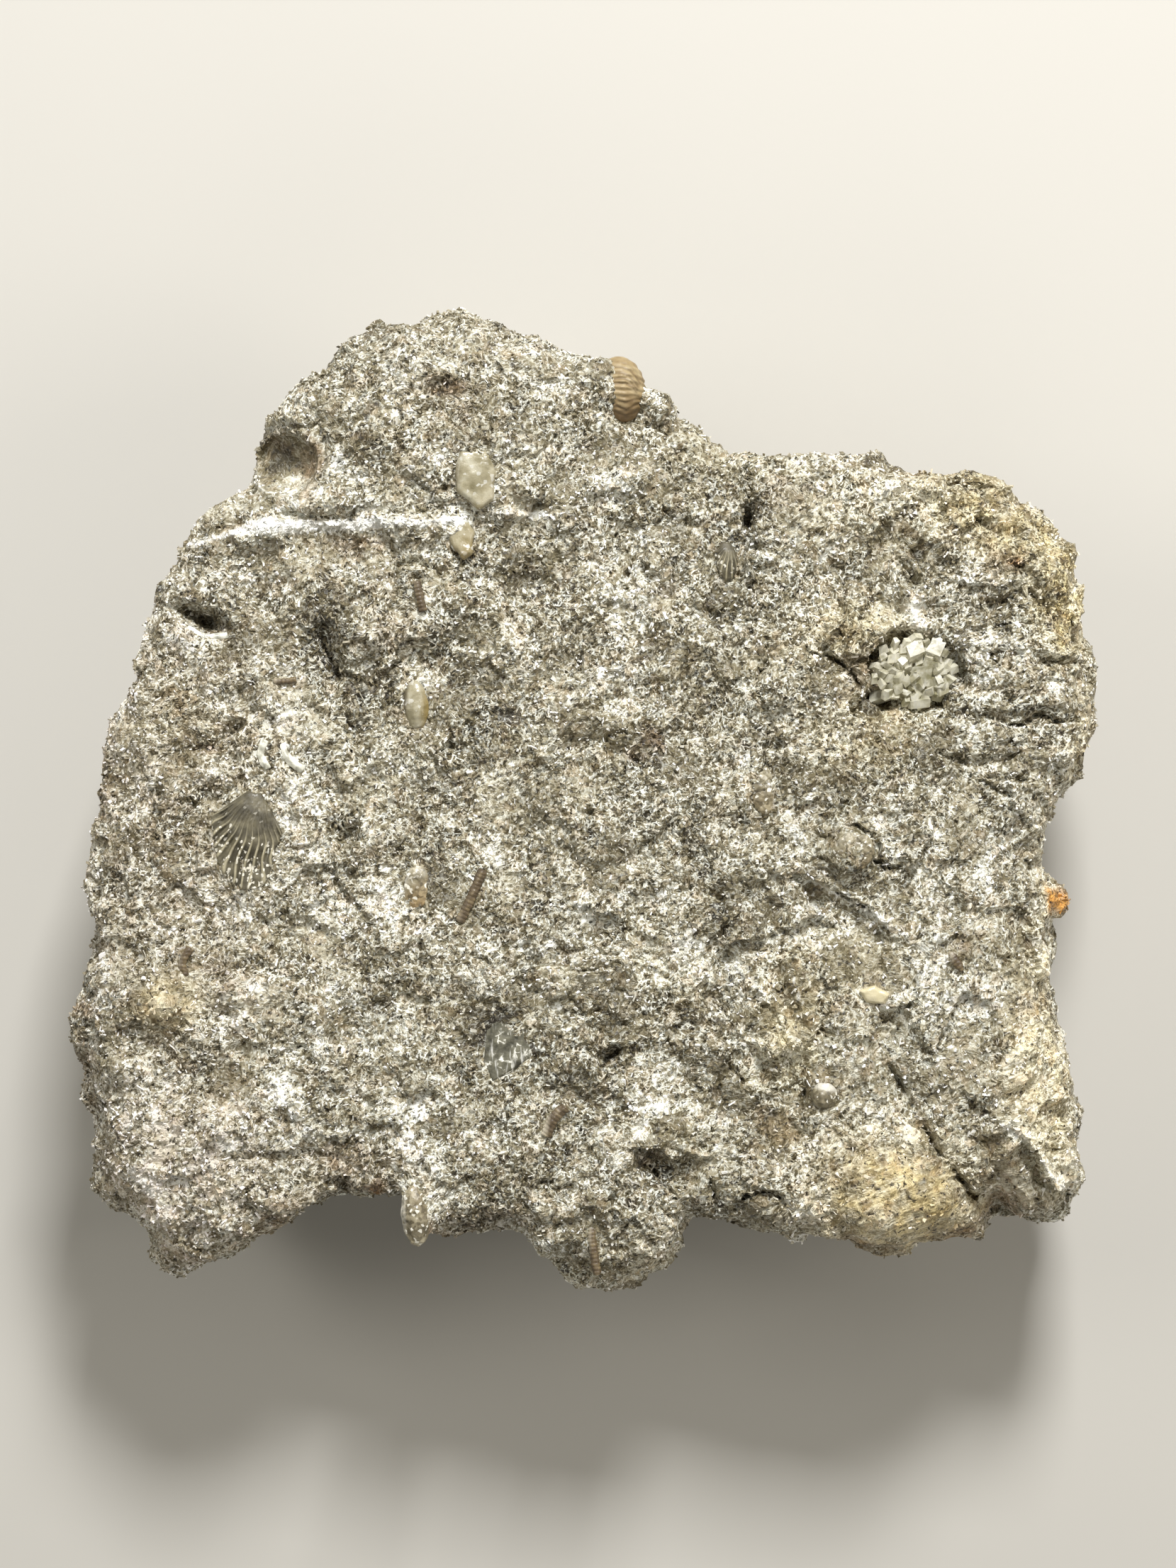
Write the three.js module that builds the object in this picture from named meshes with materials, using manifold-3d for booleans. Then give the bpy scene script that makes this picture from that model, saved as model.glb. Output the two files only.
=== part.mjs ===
// A loose block of grey-cream crinoidal limestone with the ribbed tail of a trilobite on its upper edge,
// and with the shells, stem pieces and crystals that its broken face shows. Millimetres, +Z up. The block
// lies on its flat bedding side with the fossil face up, and the origin is on the floor under its middle.

import * as THREE from 'three';
import { mergeVertices } from 'three/addons/utils/BufferGeometryUtils.js';
import Module from 'manifold-3d';

const wasm = await Module();
wasm.setup();

// Driving dimensions
const FACE_HEIGHT = 25.4; // mean height of the fossil face above the floor
const FACE_RINGS = 21; // rings of points from the middle of the face to its edge
const RIM_DROP = 2.6; // how far the rim lies below the face where nothing says otherwise
const SHOULDER = 1.15; // width of the rounded shoulder, for each millimetre of rim drop
const RIM_UNEVEN = { size: 7, height: 0.9 }; // rise and fall of the rim
const UNEVEN_BROAD = { size: 11, height: 0.9 }; // gentle swell of the whole face
const UNEVEN_FINE = { size: 3.1, height: 0.42 }; // lumps of a few grains
const WALL_POINTS = 84; // points round each ring of the side wall
const WALL_ROUGH = { size: 6.5, depth: 2.4 }; // hollows broken into the side wall
const WALL_LEAN = { size: 24, least: 3, most: 11 }; // how far the foot of the wall lies in from the rim
const PLACE_SHIFT = 0.55; // how far a face point strays from its ring, so that no pattern shows
const GAP = 0.22; // clearance between a fossil and the rock that holds it

// Side wall from the rim down to the bed that it rests on, with its harder layers standing proud:
// share of the rim's height, and how far that layer is weathered back
const WALL = [[0.87, 0.2], [0.74, 1.1], [0.61, 0.3], [0.47, 0.6], [0.34, 1.7], [0.2, 0.5], [0.07, 1.1]];
const BED_BACK = 1.9; // how far the flat bed itself is set back

// Broken edge of the block seen from above, clockwise from its leftmost point
const EDGE = [
  [-45, -17.4], [-44.2, -15], [-43, -13.2], [-42.8, -10.6], [-43.8, -7], [-43.6, -4.4], [-42.9, -0.8],
  [-42.3, 3.2], [-42.6, 4.6], [-41.8, 7.2], [-40.8, 9.2], [-39.9, 10.2], [-39.5, 13.2], [-39.3, 15.2],
  [-38.5, 16.7], [-37.6, 17.8], [-37.3, 19.8], [-35.8, 21.5], [-35.1, 23.8], [-34.5, 24.8], [-33.1, 25.8],
  [-31.1, 27], [-30.2, 27], [-29.4, 26.7], [-29, 27.4], [-29.1, 29.4], [-28.5, 31.5], [-27.7, 33], [-26, 35.2],
  [-24.6, 36.4], [-24, 37.7], [-22.4, 38.4], [-21.3, 40], [-20, 41], [-17.9, 42.2], [-16, 42.2],
  [-14.1, 41.4], [-12.6, 41.9], [-11.9, 42.8], [-10.4, 43], [-8.7, 42], [-6.6, 41.6], [-4.8, 40.9],
  [-2.9, 40.2], [-2, 40.3], [-1, 39.4], [-0.2, 39.6], [0.9, 39], [1.4, 38], [2.9, 37], [4.6, 36.1],
  [7, 34.9], [7.9, 34], [9.8, 32.9], [11.4, 32.6], [11.2, 31.7], [11.4, 30.8], [13.2, 30.3], [14.8, 30.6],
  [16.5, 30.4], [18.1, 30.2], [19.5, 30.6], [21.8, 30.5], [23.5, 30], [25.3, 30.2], [26.8, 29.7], [27.9, 29],
  [30.4, 28.9], [33, 28.7], [35.6, 28.5], [36.7, 27.7], [36.7, 26.9], [39, 25.8], [41.2, 24.1], [43, 22.2],
  [43.6, 19.2], [44, 15.9], [43.5, 13.8], [45, 12.2], [44.6, 10.4], [44.6, 7.6], [44.6, 5], [43.6, 2.7],
  [41.8, 0.9], [40.4, -2.1], [40.6, -2.9], [39, -5.9], [40.3, -6.2], [41.5, -7.4], [42.4, -8.6], [41, -10.4],
  [41, -12.4], [40.7, -15.9], [41.4, -17.6], [42.4, -20.8], [43.4, -24.8], [43.8, -28.4], [44.2, -31.4],
  [44, -34.2], [42.5, -35.5], [42.3, -36.6], [40.5, -37.3], [38.8, -36.8], [37.5, -36], [35.9, -36.6],
  [34.8, -38.2], [33.4, -38.5], [31.2, -38.5], [28.9, -39.4], [25.2, -40], [22.3, -38.7], [20.6, -38.4],
  [19.3, -37.6], [18.4, -38.4], [16.4, -37.8], [13.4, -37.2], [10.6, -36.7], [8, -36.6], [7.9, -39.2],
  [7.6, -40.3], [6.1, -41.8], [4.3, -43], [1.4, -42.3], [-0.9, -42], [-2.9, -40.8], [-4.7, -38.8], [-5.2, -37.3],
  [-6.5, -37.3], [-8, -36.6], [-10.2, -37.1], [-12.4, -37.9], [-14, -38], [-15.3, -36.8], [-16, -34.8],
  [-17.3, -33.6], [-19.5, -34.2], [-21.6, -33.6], [-24, -35.1], [-26.2, -36.6], [-28.6, -37.9], [-30.4, -39.3],
  [-31.8, -39.9], [-33.5, -41.1], [-35.8, -42.3], [-37.3, -42.2], [-39, -40.3], [-39.3, -38.8], [-40.4, -37],
  [-42.4, -35.4], [-43.6, -33.8], [-43.1, -31.4], [-43.6, -28], [-43.4, -26.2], [-44, -25.2], [-43.9, -23.2],
  [-44.7, -20.3],
];

// Where the rim lies lower still, and the face falls away to it: x, y, reach, drop
const LOW_RIMS = [
  [44, 9, 13, 4.2], [43, -30, 15, 6.5], [41, -11, 10, 4.4], [26, -40, 10, 3.6], [3, -43, 8, 5.2],
  [-37, -42, 13, 7.2], [-45, -24, 11, 2.2], [-11, -38, 7, 1.6], [-11, 43, 11, 2.8], [3.4, 37.4, 4, 1.6],
  [-26, 36, 8, 2], [24, 30, 14, 1.2], [43, 22, 8, 3],
];

// Rounded lumps, hollows and long swells of the face: x, y, half length, half width, turn in degrees, height
const SWELLS = [
  [-15, 33, 15, 9, -8, 1.1], // upper lobe, which stands highest
  [40, -26, 12, 20, 0, -1.6], // lower right part, which falls away
  [-38, -38, 12, 12, 0, -1.5], // lower left corner, which falls away too
  [3, -40, 8, 7, 0, -1.2], // bottom tongue
  [-26, 29.2, 2.7, 2.6, 0, -2.1], // cup-shaped mould of a stem piece
  [-18.7, 13.9, 3.4, 2.3, -12, 1.7], // cracked lump
  [-22.5, 13.2, 2.2, 3, 20, -1.7], // hollow beside the lump
  [-32.7, 15.8, 2.3, 0.9, -18, -1.6], // slit-shaped mould
  [-31.2, 6.4, 1.4, 0.8, 25, -1.2], // hole on the brown crack
  [-36.1, -17, 2.7, 2.3, 0, 1], // cream mound
  [-25.7, -24.6, 2.2, 2.2, 0, 0.8], // white sparry knob
  [-31.5, -33.4, 1.9, 1.6, 0, 0.8], // cream knob
  [-30.5, -21.5, 5, 4, 0, -0.5],
  [-6.6, -21, 3.3, 2.6, -25, -0.9], // hollow of the glassy plate
  [-18, -17.3, 1.4, 1.2, 0, -1.1],
  [-23, -30.4, 3.4, 1.6, 10, -1], // shaded bay above the lower left notch
  [13.5, 24.2, 1, 2.2, -12, -2.6], // hole under the overhanging edge
  [30, 12, 13, 17, 0, -1.1], // right-hand plane, one step lower
  [36, 16.2, 7, 1.5, 2, -1.1], // dark trough along the bedding
  [38.5, 20, 5, 2.4, 10, 0.7],
  [32.5, 27.9, 4.6, 1.2, -3, 1], // plate along the top right edge
  [20.6, 9.4, 2.9, 3.5, 10, 1.5], // half-round overhanging lump
  [24.6, 8.9, 1.9, 1.2, 5, -3.2], // deep hole beside it
  [28, 11.6, 3.1, 2.6, 20, -1.9], // hollow with the calcite crystals
  [24.4, 14, 3.6, 1.7, 12, 1], // crumbly ledge above the crystals
  [37.5, 6.8, 6, 1, 4, -0.9],
  [36, 3.2, 6, 0.8, 2, -0.7],
  [22.8, -3.9, 2, 1.9, 0, 1], // seat of the small cap
  [27.3, 0, 2.7, 5, 8, 0.6],
  [13.6, -27, 3.4, 2.8, -30, -1.2], // shaded floor below the lower ledge
  [7.4, -31.4, 2.9, 1.5, -5, -1.2],
  [26.8, -34.8, 6.2, 3.6, -20, 1.4], // olive-stained mound
  [36.2, -35.4, 1.8, 1.9, 0, -3.4], // dark notch in the lower right edge
  [38.8, -30.9, 5.6, 1.7, -42, 1], // bright diagonal crest
  [39.4, -35, 3, 1.6, -20, 0.8], // rounded log below the crest
  [20.3, -24.6, 2.4, 2.2, 0, 0.4],
  [0.6, -38.4, 1, 4, 5, -0.8], // furrow down the bottom tongue
  [4.4, -37, 2.4, 4.6, 0, 0.7],
];

// Steps of the face, each with its low ground on the right of its path: drop, reach of the low ground, path
const STEPS = [
  [1.5, 4.2, [[-35, 22.6], [-30.1, 23.7], [-23.4, 23.8], [-17.6, 24.3], [-10.7, 24.4], [-6.7, 25], [-1.8, 25]]],
  [1.5, 9, [[15.4, -2], [14.9, 8], [14.4, 20.3], [12.6, 24.1], [13.2, 30.5]].reverse()],
  [1.6, 4, [[11, -17.9], [12, -20], [12.8, -22.2], [13.8, -23.9], [17, -25.2]].reverse()],
  [1.4, 3.4, [[4.6, -29.7], [7, -30], [10, -30.3]]],
  [1.1, 3, [[9.9, -31], [10.8, -34], [11.4, -36.6]].reverse()],
  [1.2, 3.5, [[18.6, -6.6], [21.9, -8.2], [23, -9.2], [27.3, -11.8]]],
  [1, 3, [[25.4, 5.3], [28.6, 2.4], [30, -1.6], [27.7, -5.6]].reverse()],
  [1, 3, [[28.2, 21.4], [28.6, 19.4], [31.4, 19.6]]],
];

// Narrow grooves and cracks: depth, half width, path
const GROOVES = [
  [1.1, 0.6, [[25.9, -22.4], [27.8, -26.1], [29.4, -28.5], [30.4, -30.2], [32.8, -32.7], [34.6, -35]]],
  [0.9, 0.6, [[-35.2, 5.2], [-33, 4.9], [-29.8, 6.7]]],
  [1.2, 0.7, [[-22.9, 14.1], [-21.6, 11.6], [-19.5, 11], [-16.6, 11.8], [-15.3, 12.4]]],
  [0.9, 0.6, [[20.1, 13.5], [22.1, 12.1], [24.9, 12.8]]],
  [0.7, 0.6, [[13.4, -33.7], [15.1, -33.2], [17, -34.2]]],
  [1.1, 0.7, [[-21.7, -32.6], [-19.4, -32.9], [-17.4, -33.6]]],
  [0.8, 0.6, [[31, 27.4], [32.8, 27.8], [36.4, 27.3]]],
];

// Repeatable random value between -1 and 1 for a whole-numbered place
function scatter(i, j, k) {
  const wave = Math.sin(i * 127.1 + j * 311.7 + k * 74.7 + 5.3) * 43758.5453;
  return 2 * (wave - Math.floor(wave)) - 1;
}

// Smooth random swell between -1 and 1, with features about one unit wide
function swell(x, y, z) {
  const low = [x, y, z].map(Math.floor);
  const part = [x, y, z].map((v, axis) => THREE.MathUtils.smoothstep(v - low[axis], 0, 1));
  let total = 0;
  for (let corner = 0; corner < 8; corner++) {
    const step = [corner & 1, (corner >> 1) & 1, corner >> 2];
    const weight = step.reduce((product, s, axis) => product * (s ? part[axis] : 1 - part[axis]), 1);
    total += weight * scatter(low[0] + step[0], low[1] + step[1], low[2] + step[2]);
  }
  return total;
}

// Distance from a place to a path, and the side of the path that it lies on: 1 left, -1 right
function nearest(path, x, y) {
  let best = { distance: Infinity, side: 1 };
  for (let i = 0; i + 1 < path.length; i++) {
    const [startX, startY] = path[i];
    const runX = path[i + 1][0] - startX;
    const runY = path[i + 1][1] - startY;
    const along = ((x - startX) * runX + (y - startY) * runY) / (runX * runX + runY * runY);
    const held = THREE.MathUtils.clamp(along, 0, 1);
    const distance = Math.hypot(x - startX - held * runX, y - startY - held * runY);
    if (distance < best.distance) {
      best = { distance, side: Math.sign(runX * (y - startY) - runY * (x - startX)) || 1 };
    }
  }
  return best;
}

// Height of one swell of the list above at a place: full in its middle, fading to nothing outside it
function swellHeight([centreX, centreY, halfLength, halfWidth, turn, height], x, y) {
  const angle = THREE.MathUtils.degToRad(turn);
  const along = ((x - centreX) * Math.cos(angle) + (y - centreY) * Math.sin(angle)) / halfLength;
  const across = ((y - centreY) * Math.cos(angle) - (x - centreX) * Math.sin(angle)) / halfWidth;
  return height * Math.exp(-((along * along + across * across) ** 1.5) * 0.7);
}

// Relief of the face about its mean height
function relief(x, y) {
  let height = UNEVEN_BROAD.height * swell(x / UNEVEN_BROAD.size, y / UNEVEN_BROAD.size, 3.5);
  height += UNEVEN_FINE.height * swell(x / UNEVEN_FINE.size, y / UNEVEN_FINE.size, 8.5);
  for (const place of SWELLS) {
    height += swellHeight(place, x, y);
  }
  for (const [drop, reach, path] of STEPS) {
    const { distance, side } = nearest(path, x, y);
    height += side < 0 ? -drop * Math.exp(-distance / reach) : 0.25 * drop * Math.exp(-distance);
  }
  for (const [depth, halfWidth, path] of GROOVES) {
    height -= depth * Math.exp(-((nearest(path, x, y).distance / halfWidth) ** 2) / 2);
  }
  return height;
}

function rimDrop(x, y) {
  let drop = RIM_DROP + RIM_UNEVEN.height * swell(x / RIM_UNEVEN.size, y / RIM_UNEVEN.size, 1.5);
  for (const [lowX, lowY, reach, extra] of LOW_RIMS) {
    drop += extra * Math.exp(-(((x - lowX) ** 2 + (y - lowY) ** 2) / (reach * reach)));
  }
  return drop;
}

// Height of the face at a place that lies the given distance in from its edge
function faceHeight(x, y, inFromEdge) {
  const drop = rimDrop(x, y);
  const near = THREE.MathUtils.clamp(1 - inFromEdge / (SHOULDER * drop), 0, 1);
  return FACE_HEIGHT + relief(x, y) - drop * (1 - Math.sqrt(1 - near * near));
}

// Size of the wall at a height, as a share of the outline's: it leans in towards the foot, more on some
// sides than on others, and is broken back in hollows
function wallSize(edgeX, edgeY, z, level, back) {
  const lean = 0.5 + 0.5 * swell(edgeX / WALL_LEAN.size, edgeY / WALL_LEAN.size, 2.5);
  const foot = THREE.MathUtils.lerp(WALL_LEAN.least, WALL_LEAN.most, THREE.MathUtils.smoothstep(lean, 0.15, 0.85));
  const broken = swell(edgeX / WALL_ROUGH.size, edgeY / WALL_ROUGH.size, z / WALL_ROUGH.size);
  const hollow = WALL_ROUGH.depth * Math.max(0, broken + 0.15) * Math.min(1, 4 * (1 - level));
  return 1 - (foot * (1 - level) ** 1.7 + hollow + back) / Math.hypot(edgeX, edgeY);
}

// Length along the edge up to each of its points, as a share of the whole
const reached = [0];
EDGE.forEach((point, i) => {
  const next = EDGE[(i + 1) % EDGE.length];
  reached.push(reached[i] + Math.hypot(next[0] - point[0], next[1] - point[1]));
});
const edgeShares = reached.map((length) => length / reached[EDGE.length]);

// Point of the edge at a share of its length
function edgeAt(share) {
  const i = Math.max(0, edgeShares.findIndex((s) => s > share) - 1);
  const part = (share - edgeShares[i]) / (edgeShares[i + 1] - edgeShares[i]);
  const next = EDGE[(i + 1) % EDGE.length];
  return EDGE[i].map((v, axis) => v + part * (next[axis] - v));
}

// Limestone block: rings of points from the middle of the face, over the rim and down the wall to the bed
function limestoneBlock() {
  const positions = [];
  const faces = [];
  const rings = [];
  const addPoint = (x, y, z) => positions.push(x, y, z) / 3 - 1;

  for (let k = 1; k < FACE_RINGS; k++) {
    const size = k / FACE_RINGS;
    const count = Math.max(6, Math.round(EDGE.length * size));
    const ring = [];
    for (let i = 0; i < count; i++) {
      const share = (i + 0.5 * (k % 2)) / count;
      const [edgeX, edgeY] = edgeAt(share);
      const calm = k < FACE_RINGS - 1 ? PLACE_SHIFT : 0;
      const x = edgeX * size + calm * scatter(i, k, 1);
      const y = edgeY * size + calm * scatter(i, k, 2);
      const inFromEdge = (1 - size) * Math.hypot(edgeX, edgeY);
      ring.push({ share, point: addPoint(x, y, faceHeight(x, y, inFromEdge)) });
    }
    rings.push(ring);
  }

  const rimHeights = EDGE.map(([x, y]) => faceHeight(x, y, 0));
  rings.push(EDGE.map(([x, y], i) => ({ share: edgeShares[i], point: addPoint(x, y, rimHeights[i]) })));

  WALL.forEach(([level, back], k) => {
    const ring = [];
    for (let i = 0; i < WALL_POINTS; i++) {
      const share = (i + 0.5 * (k % 2)) / WALL_POINTS;
      const [edgeX, edgeY] = edgeAt(share);
      const z = level * faceHeight(edgeX, edgeY, 0) * (1 + 0.045 * scatter(i, k, 3));
      const wide = wallSize(edgeX, edgeY, z, level, back + 0.45 * Math.abs(scatter(i, k, 4)));
      ring.push({ share, point: addPoint(edgeX * wide, edgeY * wide, z) });
    }
    rings.push(ring);
  });

  const bed = [];
  for (let i = 0; i < WALL_POINTS / 2; i++) {
    const share = i / (WALL_POINTS / 2);
    const [edgeX, edgeY] = edgeAt(share);
    const wide = wallSize(edgeX, edgeY, 0, 0, BED_BACK + 0.6 * Math.abs(scatter(i, 1, 6)));
    bed.push({ share, point: addPoint(edgeX * wide, edgeY * wide, 0) });
  }
  rings.push(bed);

  const top = addPoint(0, 0, faceHeight(0, 0, Infinity));
  rings[0].forEach(({ point }, i) => faces.push(top, rings[0][(i + 1) % rings[0].length].point, point));
  for (let k = 0; k + 1 < rings.length; k++) {
    stitch(rings[k], rings[k + 1], faces);
  }
  const bottom = addPoint(0, 0, 0);
  bed.forEach(({ point }, i) => faces.push(bottom, point, bed[(i + 1) % bed.length].point));

  const geometry = new THREE.BufferGeometry();
  geometry.setAttribute('position', new THREE.Float32BufferAttribute(positions, 3));
  geometry.setIndex(faces);
  return geometry;
}

// Triangles between two rings, each step taken on the ring whose next point comes first
function stitch(inner, outer, faces) {
  let i = 0;
  let j = 0;
  const share = (ring, n) => ring[n % ring.length].share + Math.floor(n / ring.length);
  while (i < inner.length || j < outer.length) {
    const from = inner[i % inner.length].point;
    const to = outer[j % outer.length].point;
    if (j >= outer.length || (i < inner.length && share(inner, i + 1) < share(outer, j + 1))) {
      faces.push(from, inner[(i + 1) % inner.length].point, to);
      i++;
    } else {
      faces.push(from, outer[(j + 1) % outer.length].point, to);
      j++;
    }
  }
}

// Solid body of a closed geometry, its shared points merged
function solidOf(geometry, matrix = new THREE.Matrix4()) {
  const bare = geometry.clone();
  bare.deleteAttribute('normal');
  bare.deleteAttribute('uv');
  bare.applyMatrix4(matrix);
  const merged = mergeVertices(bare);
  const triVerts = Uint32Array.from(merged.index.array);
  const vertProperties = Float32Array.from(merged.attributes.position.array);
  return new wasm.Manifold(new wasm.Mesh({ numProp: 3, vertProperties, triVerts }));
}

function geometryOf(solid) {
  const mesh = solid.getMesh();
  const geometry = new THREE.BufferGeometry();
  geometry.setAttribute('position', new THREE.BufferAttribute(Float32Array.from(mesh.vertProperties), 3));
  geometry.setIndex(Array.from(mesh.triVerts));
  return geometry;
}

// Every shape below takes the room to leave round it. No room gives the piece itself, and some room gives
// the plainer form that its pocket in the rock is cut with, a little wider where it has fewer sides.
const POCKET_SIDES = 7;
const POCKET_WIDER = 1 / Math.cos(Math.PI / POCKET_SIDES);

// Rounded lens or bead
const lens = (halfX, halfY, halfZ, sides = 10) => (room) => {
  const around = room ? POCKET_SIDES : sides;
  const wider = room ? POCKET_WIDER : 1;
  const geometry = new THREE.SphereGeometry(wider, around, room ? 5 : 6);
  return geometry.scale(halfX + room, halfY + room, halfZ + room);
};

// Round stem piece, spine or shell edge along a path
const rod = (path, radius) => (room) => {
  const sides = room ? 5 : 6;
  const steps = (room ? 1 : 2) * (path.length - 1);
  const thick = room ? (radius + room) / Math.cos(Math.PI / sides) : radius;
  const points = path.map((place) => new THREE.Vector3(...place));
  const first = points[0].clone().sub(points[1]).setLength(room);
  const last = points.at(-1).clone().sub(points.at(-2)).setLength(room);
  points[0].add(first);
  points[points.length - 1].add(last);
  const section = new THREE.Shape();
  for (let i = 0; i < sides; i++) {
    const angle = (2 * Math.PI * i) / sides;
    const corner = [thick * Math.cos(angle), thick * Math.sin(angle)];
    if (i === 0) section.moveTo(...corner);
    else section.lineTo(...corner);
  }
  const extrudePath = new THREE.CatmullRomCurve3(points);
  return new THREE.ExtrudeGeometry(section, { steps, extrudePath, curveSegments: 1 });
};

// Flat shell plate with a thinner, bevelled edge
const plate = (outline, thickness, bevel = 0.25) => (room) => {
  const shape = new THREE.Shape(outline.map(([x, y]) => new THREE.Vector2(x, y)));
  const geometry = new THREE.ExtrudeGeometry(shape, {
    depth: thickness + 2 * room - 2 * bevel,
    bevelSize: bevel + room,
    bevelOffset: -bevel,
    bevelThickness: bevel,
    bevelSegments: 1,
    curveSegments: 1,
  });
  return geometry.translate(0, 0, bevel - room);
};

// Tail shield of the trilobite: a long dome with raised ribs across it that bow towards its tip
const TAIL = { halfWidth: 2.15, halfLength: 2.85, halfHeight: 2.3, ribs: 10, ribHeight: 0.055, bow: 0.2 };
function trilobiteTail(room) {
  const geometry = new THREE.SphereGeometry(room ? POCKET_WIDER : 1, room ? POCKET_SIDES : 13, room ? 6 : 32);
  const position = geometry.attributes.position;
  for (let i = 0; i < position.count; i++) {
    const [x, y, z] = [position.getX(i), position.getY(i), position.getZ(i)];
    const along = y + TAIL.bow * x * x;
    const rib = TAIL.ribHeight * (room ? 1 : Math.cos(Math.PI * TAIL.ribs * along));
    const wide = 1 + rib * Math.min(1, 3 * (1 - y * y));
    position.setXYZ(i, x * wide, y, z * wide);
  }
  return geometry.scale(TAIL.halfWidth + room, TAIL.halfLength + room, TAIL.halfHeight + room);
}

// Ribbed valve of a fan shell, spread from its beak; the middle of the fan points down the face
const FAN = { reach: 9.2, spread: 84, ribs: 13, ribHeight: 0.16, dome: 0.75, edge: 0.25, thickness: 0.9, beak: 0.8 };
const FAN_REACH = [0.52, 0.6, 0.74, 0.9, 1, 0.95, 0.62, 0.5]; // length of the fan from its left to its right
function fanShell(room) {
  const columns = room ? 8 : 2 * FAN.ribs;
  const rows = room ? 2 : 4;
  const spread = FAN.spread + (room ? 10 : 0);
  const positions = [];
  const faces = [];
  for (const side of [1, -1]) {
    for (let c = 0; c <= columns; c++) {
      const across = c / columns;
      const angle = THREE.MathUtils.degToRad(-90 + spread * (across - 0.5));
      const slot = across * (FAN_REACH.length - 1);
      const low = Math.min(FAN_REACH.length - 2, Math.floor(slot));
      const share = THREE.MathUtils.lerp(FAN_REACH[low], FAN_REACH[low + 1], slot - low);
      for (let r = 0; r <= rows; r++) {
        const beak = FAN.beak - 2 * room;
        const out = beak + (FAN.reach * share + 2.5 * room - beak) * (r / rows);
        const dome = FAN.dome * Math.sin(Math.PI * across) * Math.sin(Math.PI * Math.min(0.97, r / rows + 0.15));
        const rib = (c % 2 ? 1 : -1) * FAN.ribHeight * Math.min(1, (2 * r) / rows);
        const top = FAN.edge + (room ? FAN.dome : dome + rib);
        positions.push(out * Math.cos(angle), out * Math.sin(angle), side > 0 ? top + room : -FAN.thickness - room);
      }
    }
  }
  const stride = rows + 1;
  const half = stride * (columns + 1);
  const quad = (a, b, c, d) => faces.push(a, b, c, a, c, d);
  for (let c = 0; c < columns; c++) {
    for (let r = 0; r < rows; r++) {
      const a = c * stride + r;
      quad(a, a + 1, a + stride + 1, a + stride);
      quad(half + a, half + a + stride, half + a + stride + 1, half + a + 1);
    }
    const start = c * stride;
    quad(start, start + stride, half + start + stride, half + start);
    quad(start + rows, half + start + rows, half + start + stride + rows, start + stride + rows);
  }
  for (let r = 0; r < rows; r++) {
    const end = columns * stride + r;
    quad(r, half + r, half + r + 1, r + 1);
    quad(end, end + 1, half + end + 1, half + end);
  }
  const geometry = new THREE.BufferGeometry();
  geometry.setAttribute('position', new THREE.Float32BufferAttribute(positions, 3));
  geometry.setIndex(faces);
  return geometry;
}

// Calcite crystals grown together on one base: x, y, half width, length, lean towards x and y in degrees
const CRYSTALS = [
  [-2.9, -1.3, 1.25, 2.1, -30, 8], [-1.7, -1.9, 0.9, 2, 10, -14], [0.3, 1.6, 1.3, 2.7, -6, 12],
  [2, 1.8, 1.1, 2.6, 22, 6], [-0.3, -0.4, 1.2, 2.6, 4, -10], [1.3, -0.9, 0.95, 2.9, 12, -4],
  [2.6, -1.1, 0.75, 2.3, 28, -16],
];
function calciteCrust(room) {
  if (room) {
    return new THREE.SphereGeometry(POCKET_WIDER, POCKET_SIDES, 5).scale(4.4 + room, 3.4 + room, 3.4 + room);
  }
  let crust = solidOf(new THREE.CylinderGeometry(3.1, 2.2, 1.2, 8)
    .rotateX(Math.PI / 2).scale(1, 0.8, 1).translate(-0.2, 0, -1.1));
  CRYSTALS.forEach(([x, y, half, length, leanX, leanY], i) => {
    const crystal = new THREE.CylinderGeometry(0.45 * half, half, length, 5);
    crystal.rotateX(Math.PI / 2).rotateZ(i).translate(0, 0, length / 2 - 1.2);
    crystal.rotateY(THREE.MathUtils.degToRad(leanX)).rotateX(THREE.MathUtils.degToRad(-leanY));
    crust = crust.add(solidOf(crystal.translate(x, y, 0)));
  });
  return geometryOf(crust);
}

const GLASSY = [[-3, 2.1], [-0.6, 3.3], [2.6, 2.2], [2.2, 0.1], [0.6, -1.6], [-1, -3.2], [-2.2, -1.6]];
const TAN_PLATE = [[-1.4, 2.1], [1.1, 2.2], [1.35, 0.4], [1.2, -1.7], [0.3, -2.4], [-1.2, -1]];
const TEAR_PLATE = [[-1.2, 1.3], [0.5, 1.5], [1.2, 0.4], [1.1, -1.4], [0.4, -1.8], [-0.3, -1]];
const CHIP = [[-1.3, 0.5], [0, 0.9], [1.3, 0.2], [0.9, -0.7], [-0.7, -0.6]];

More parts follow.
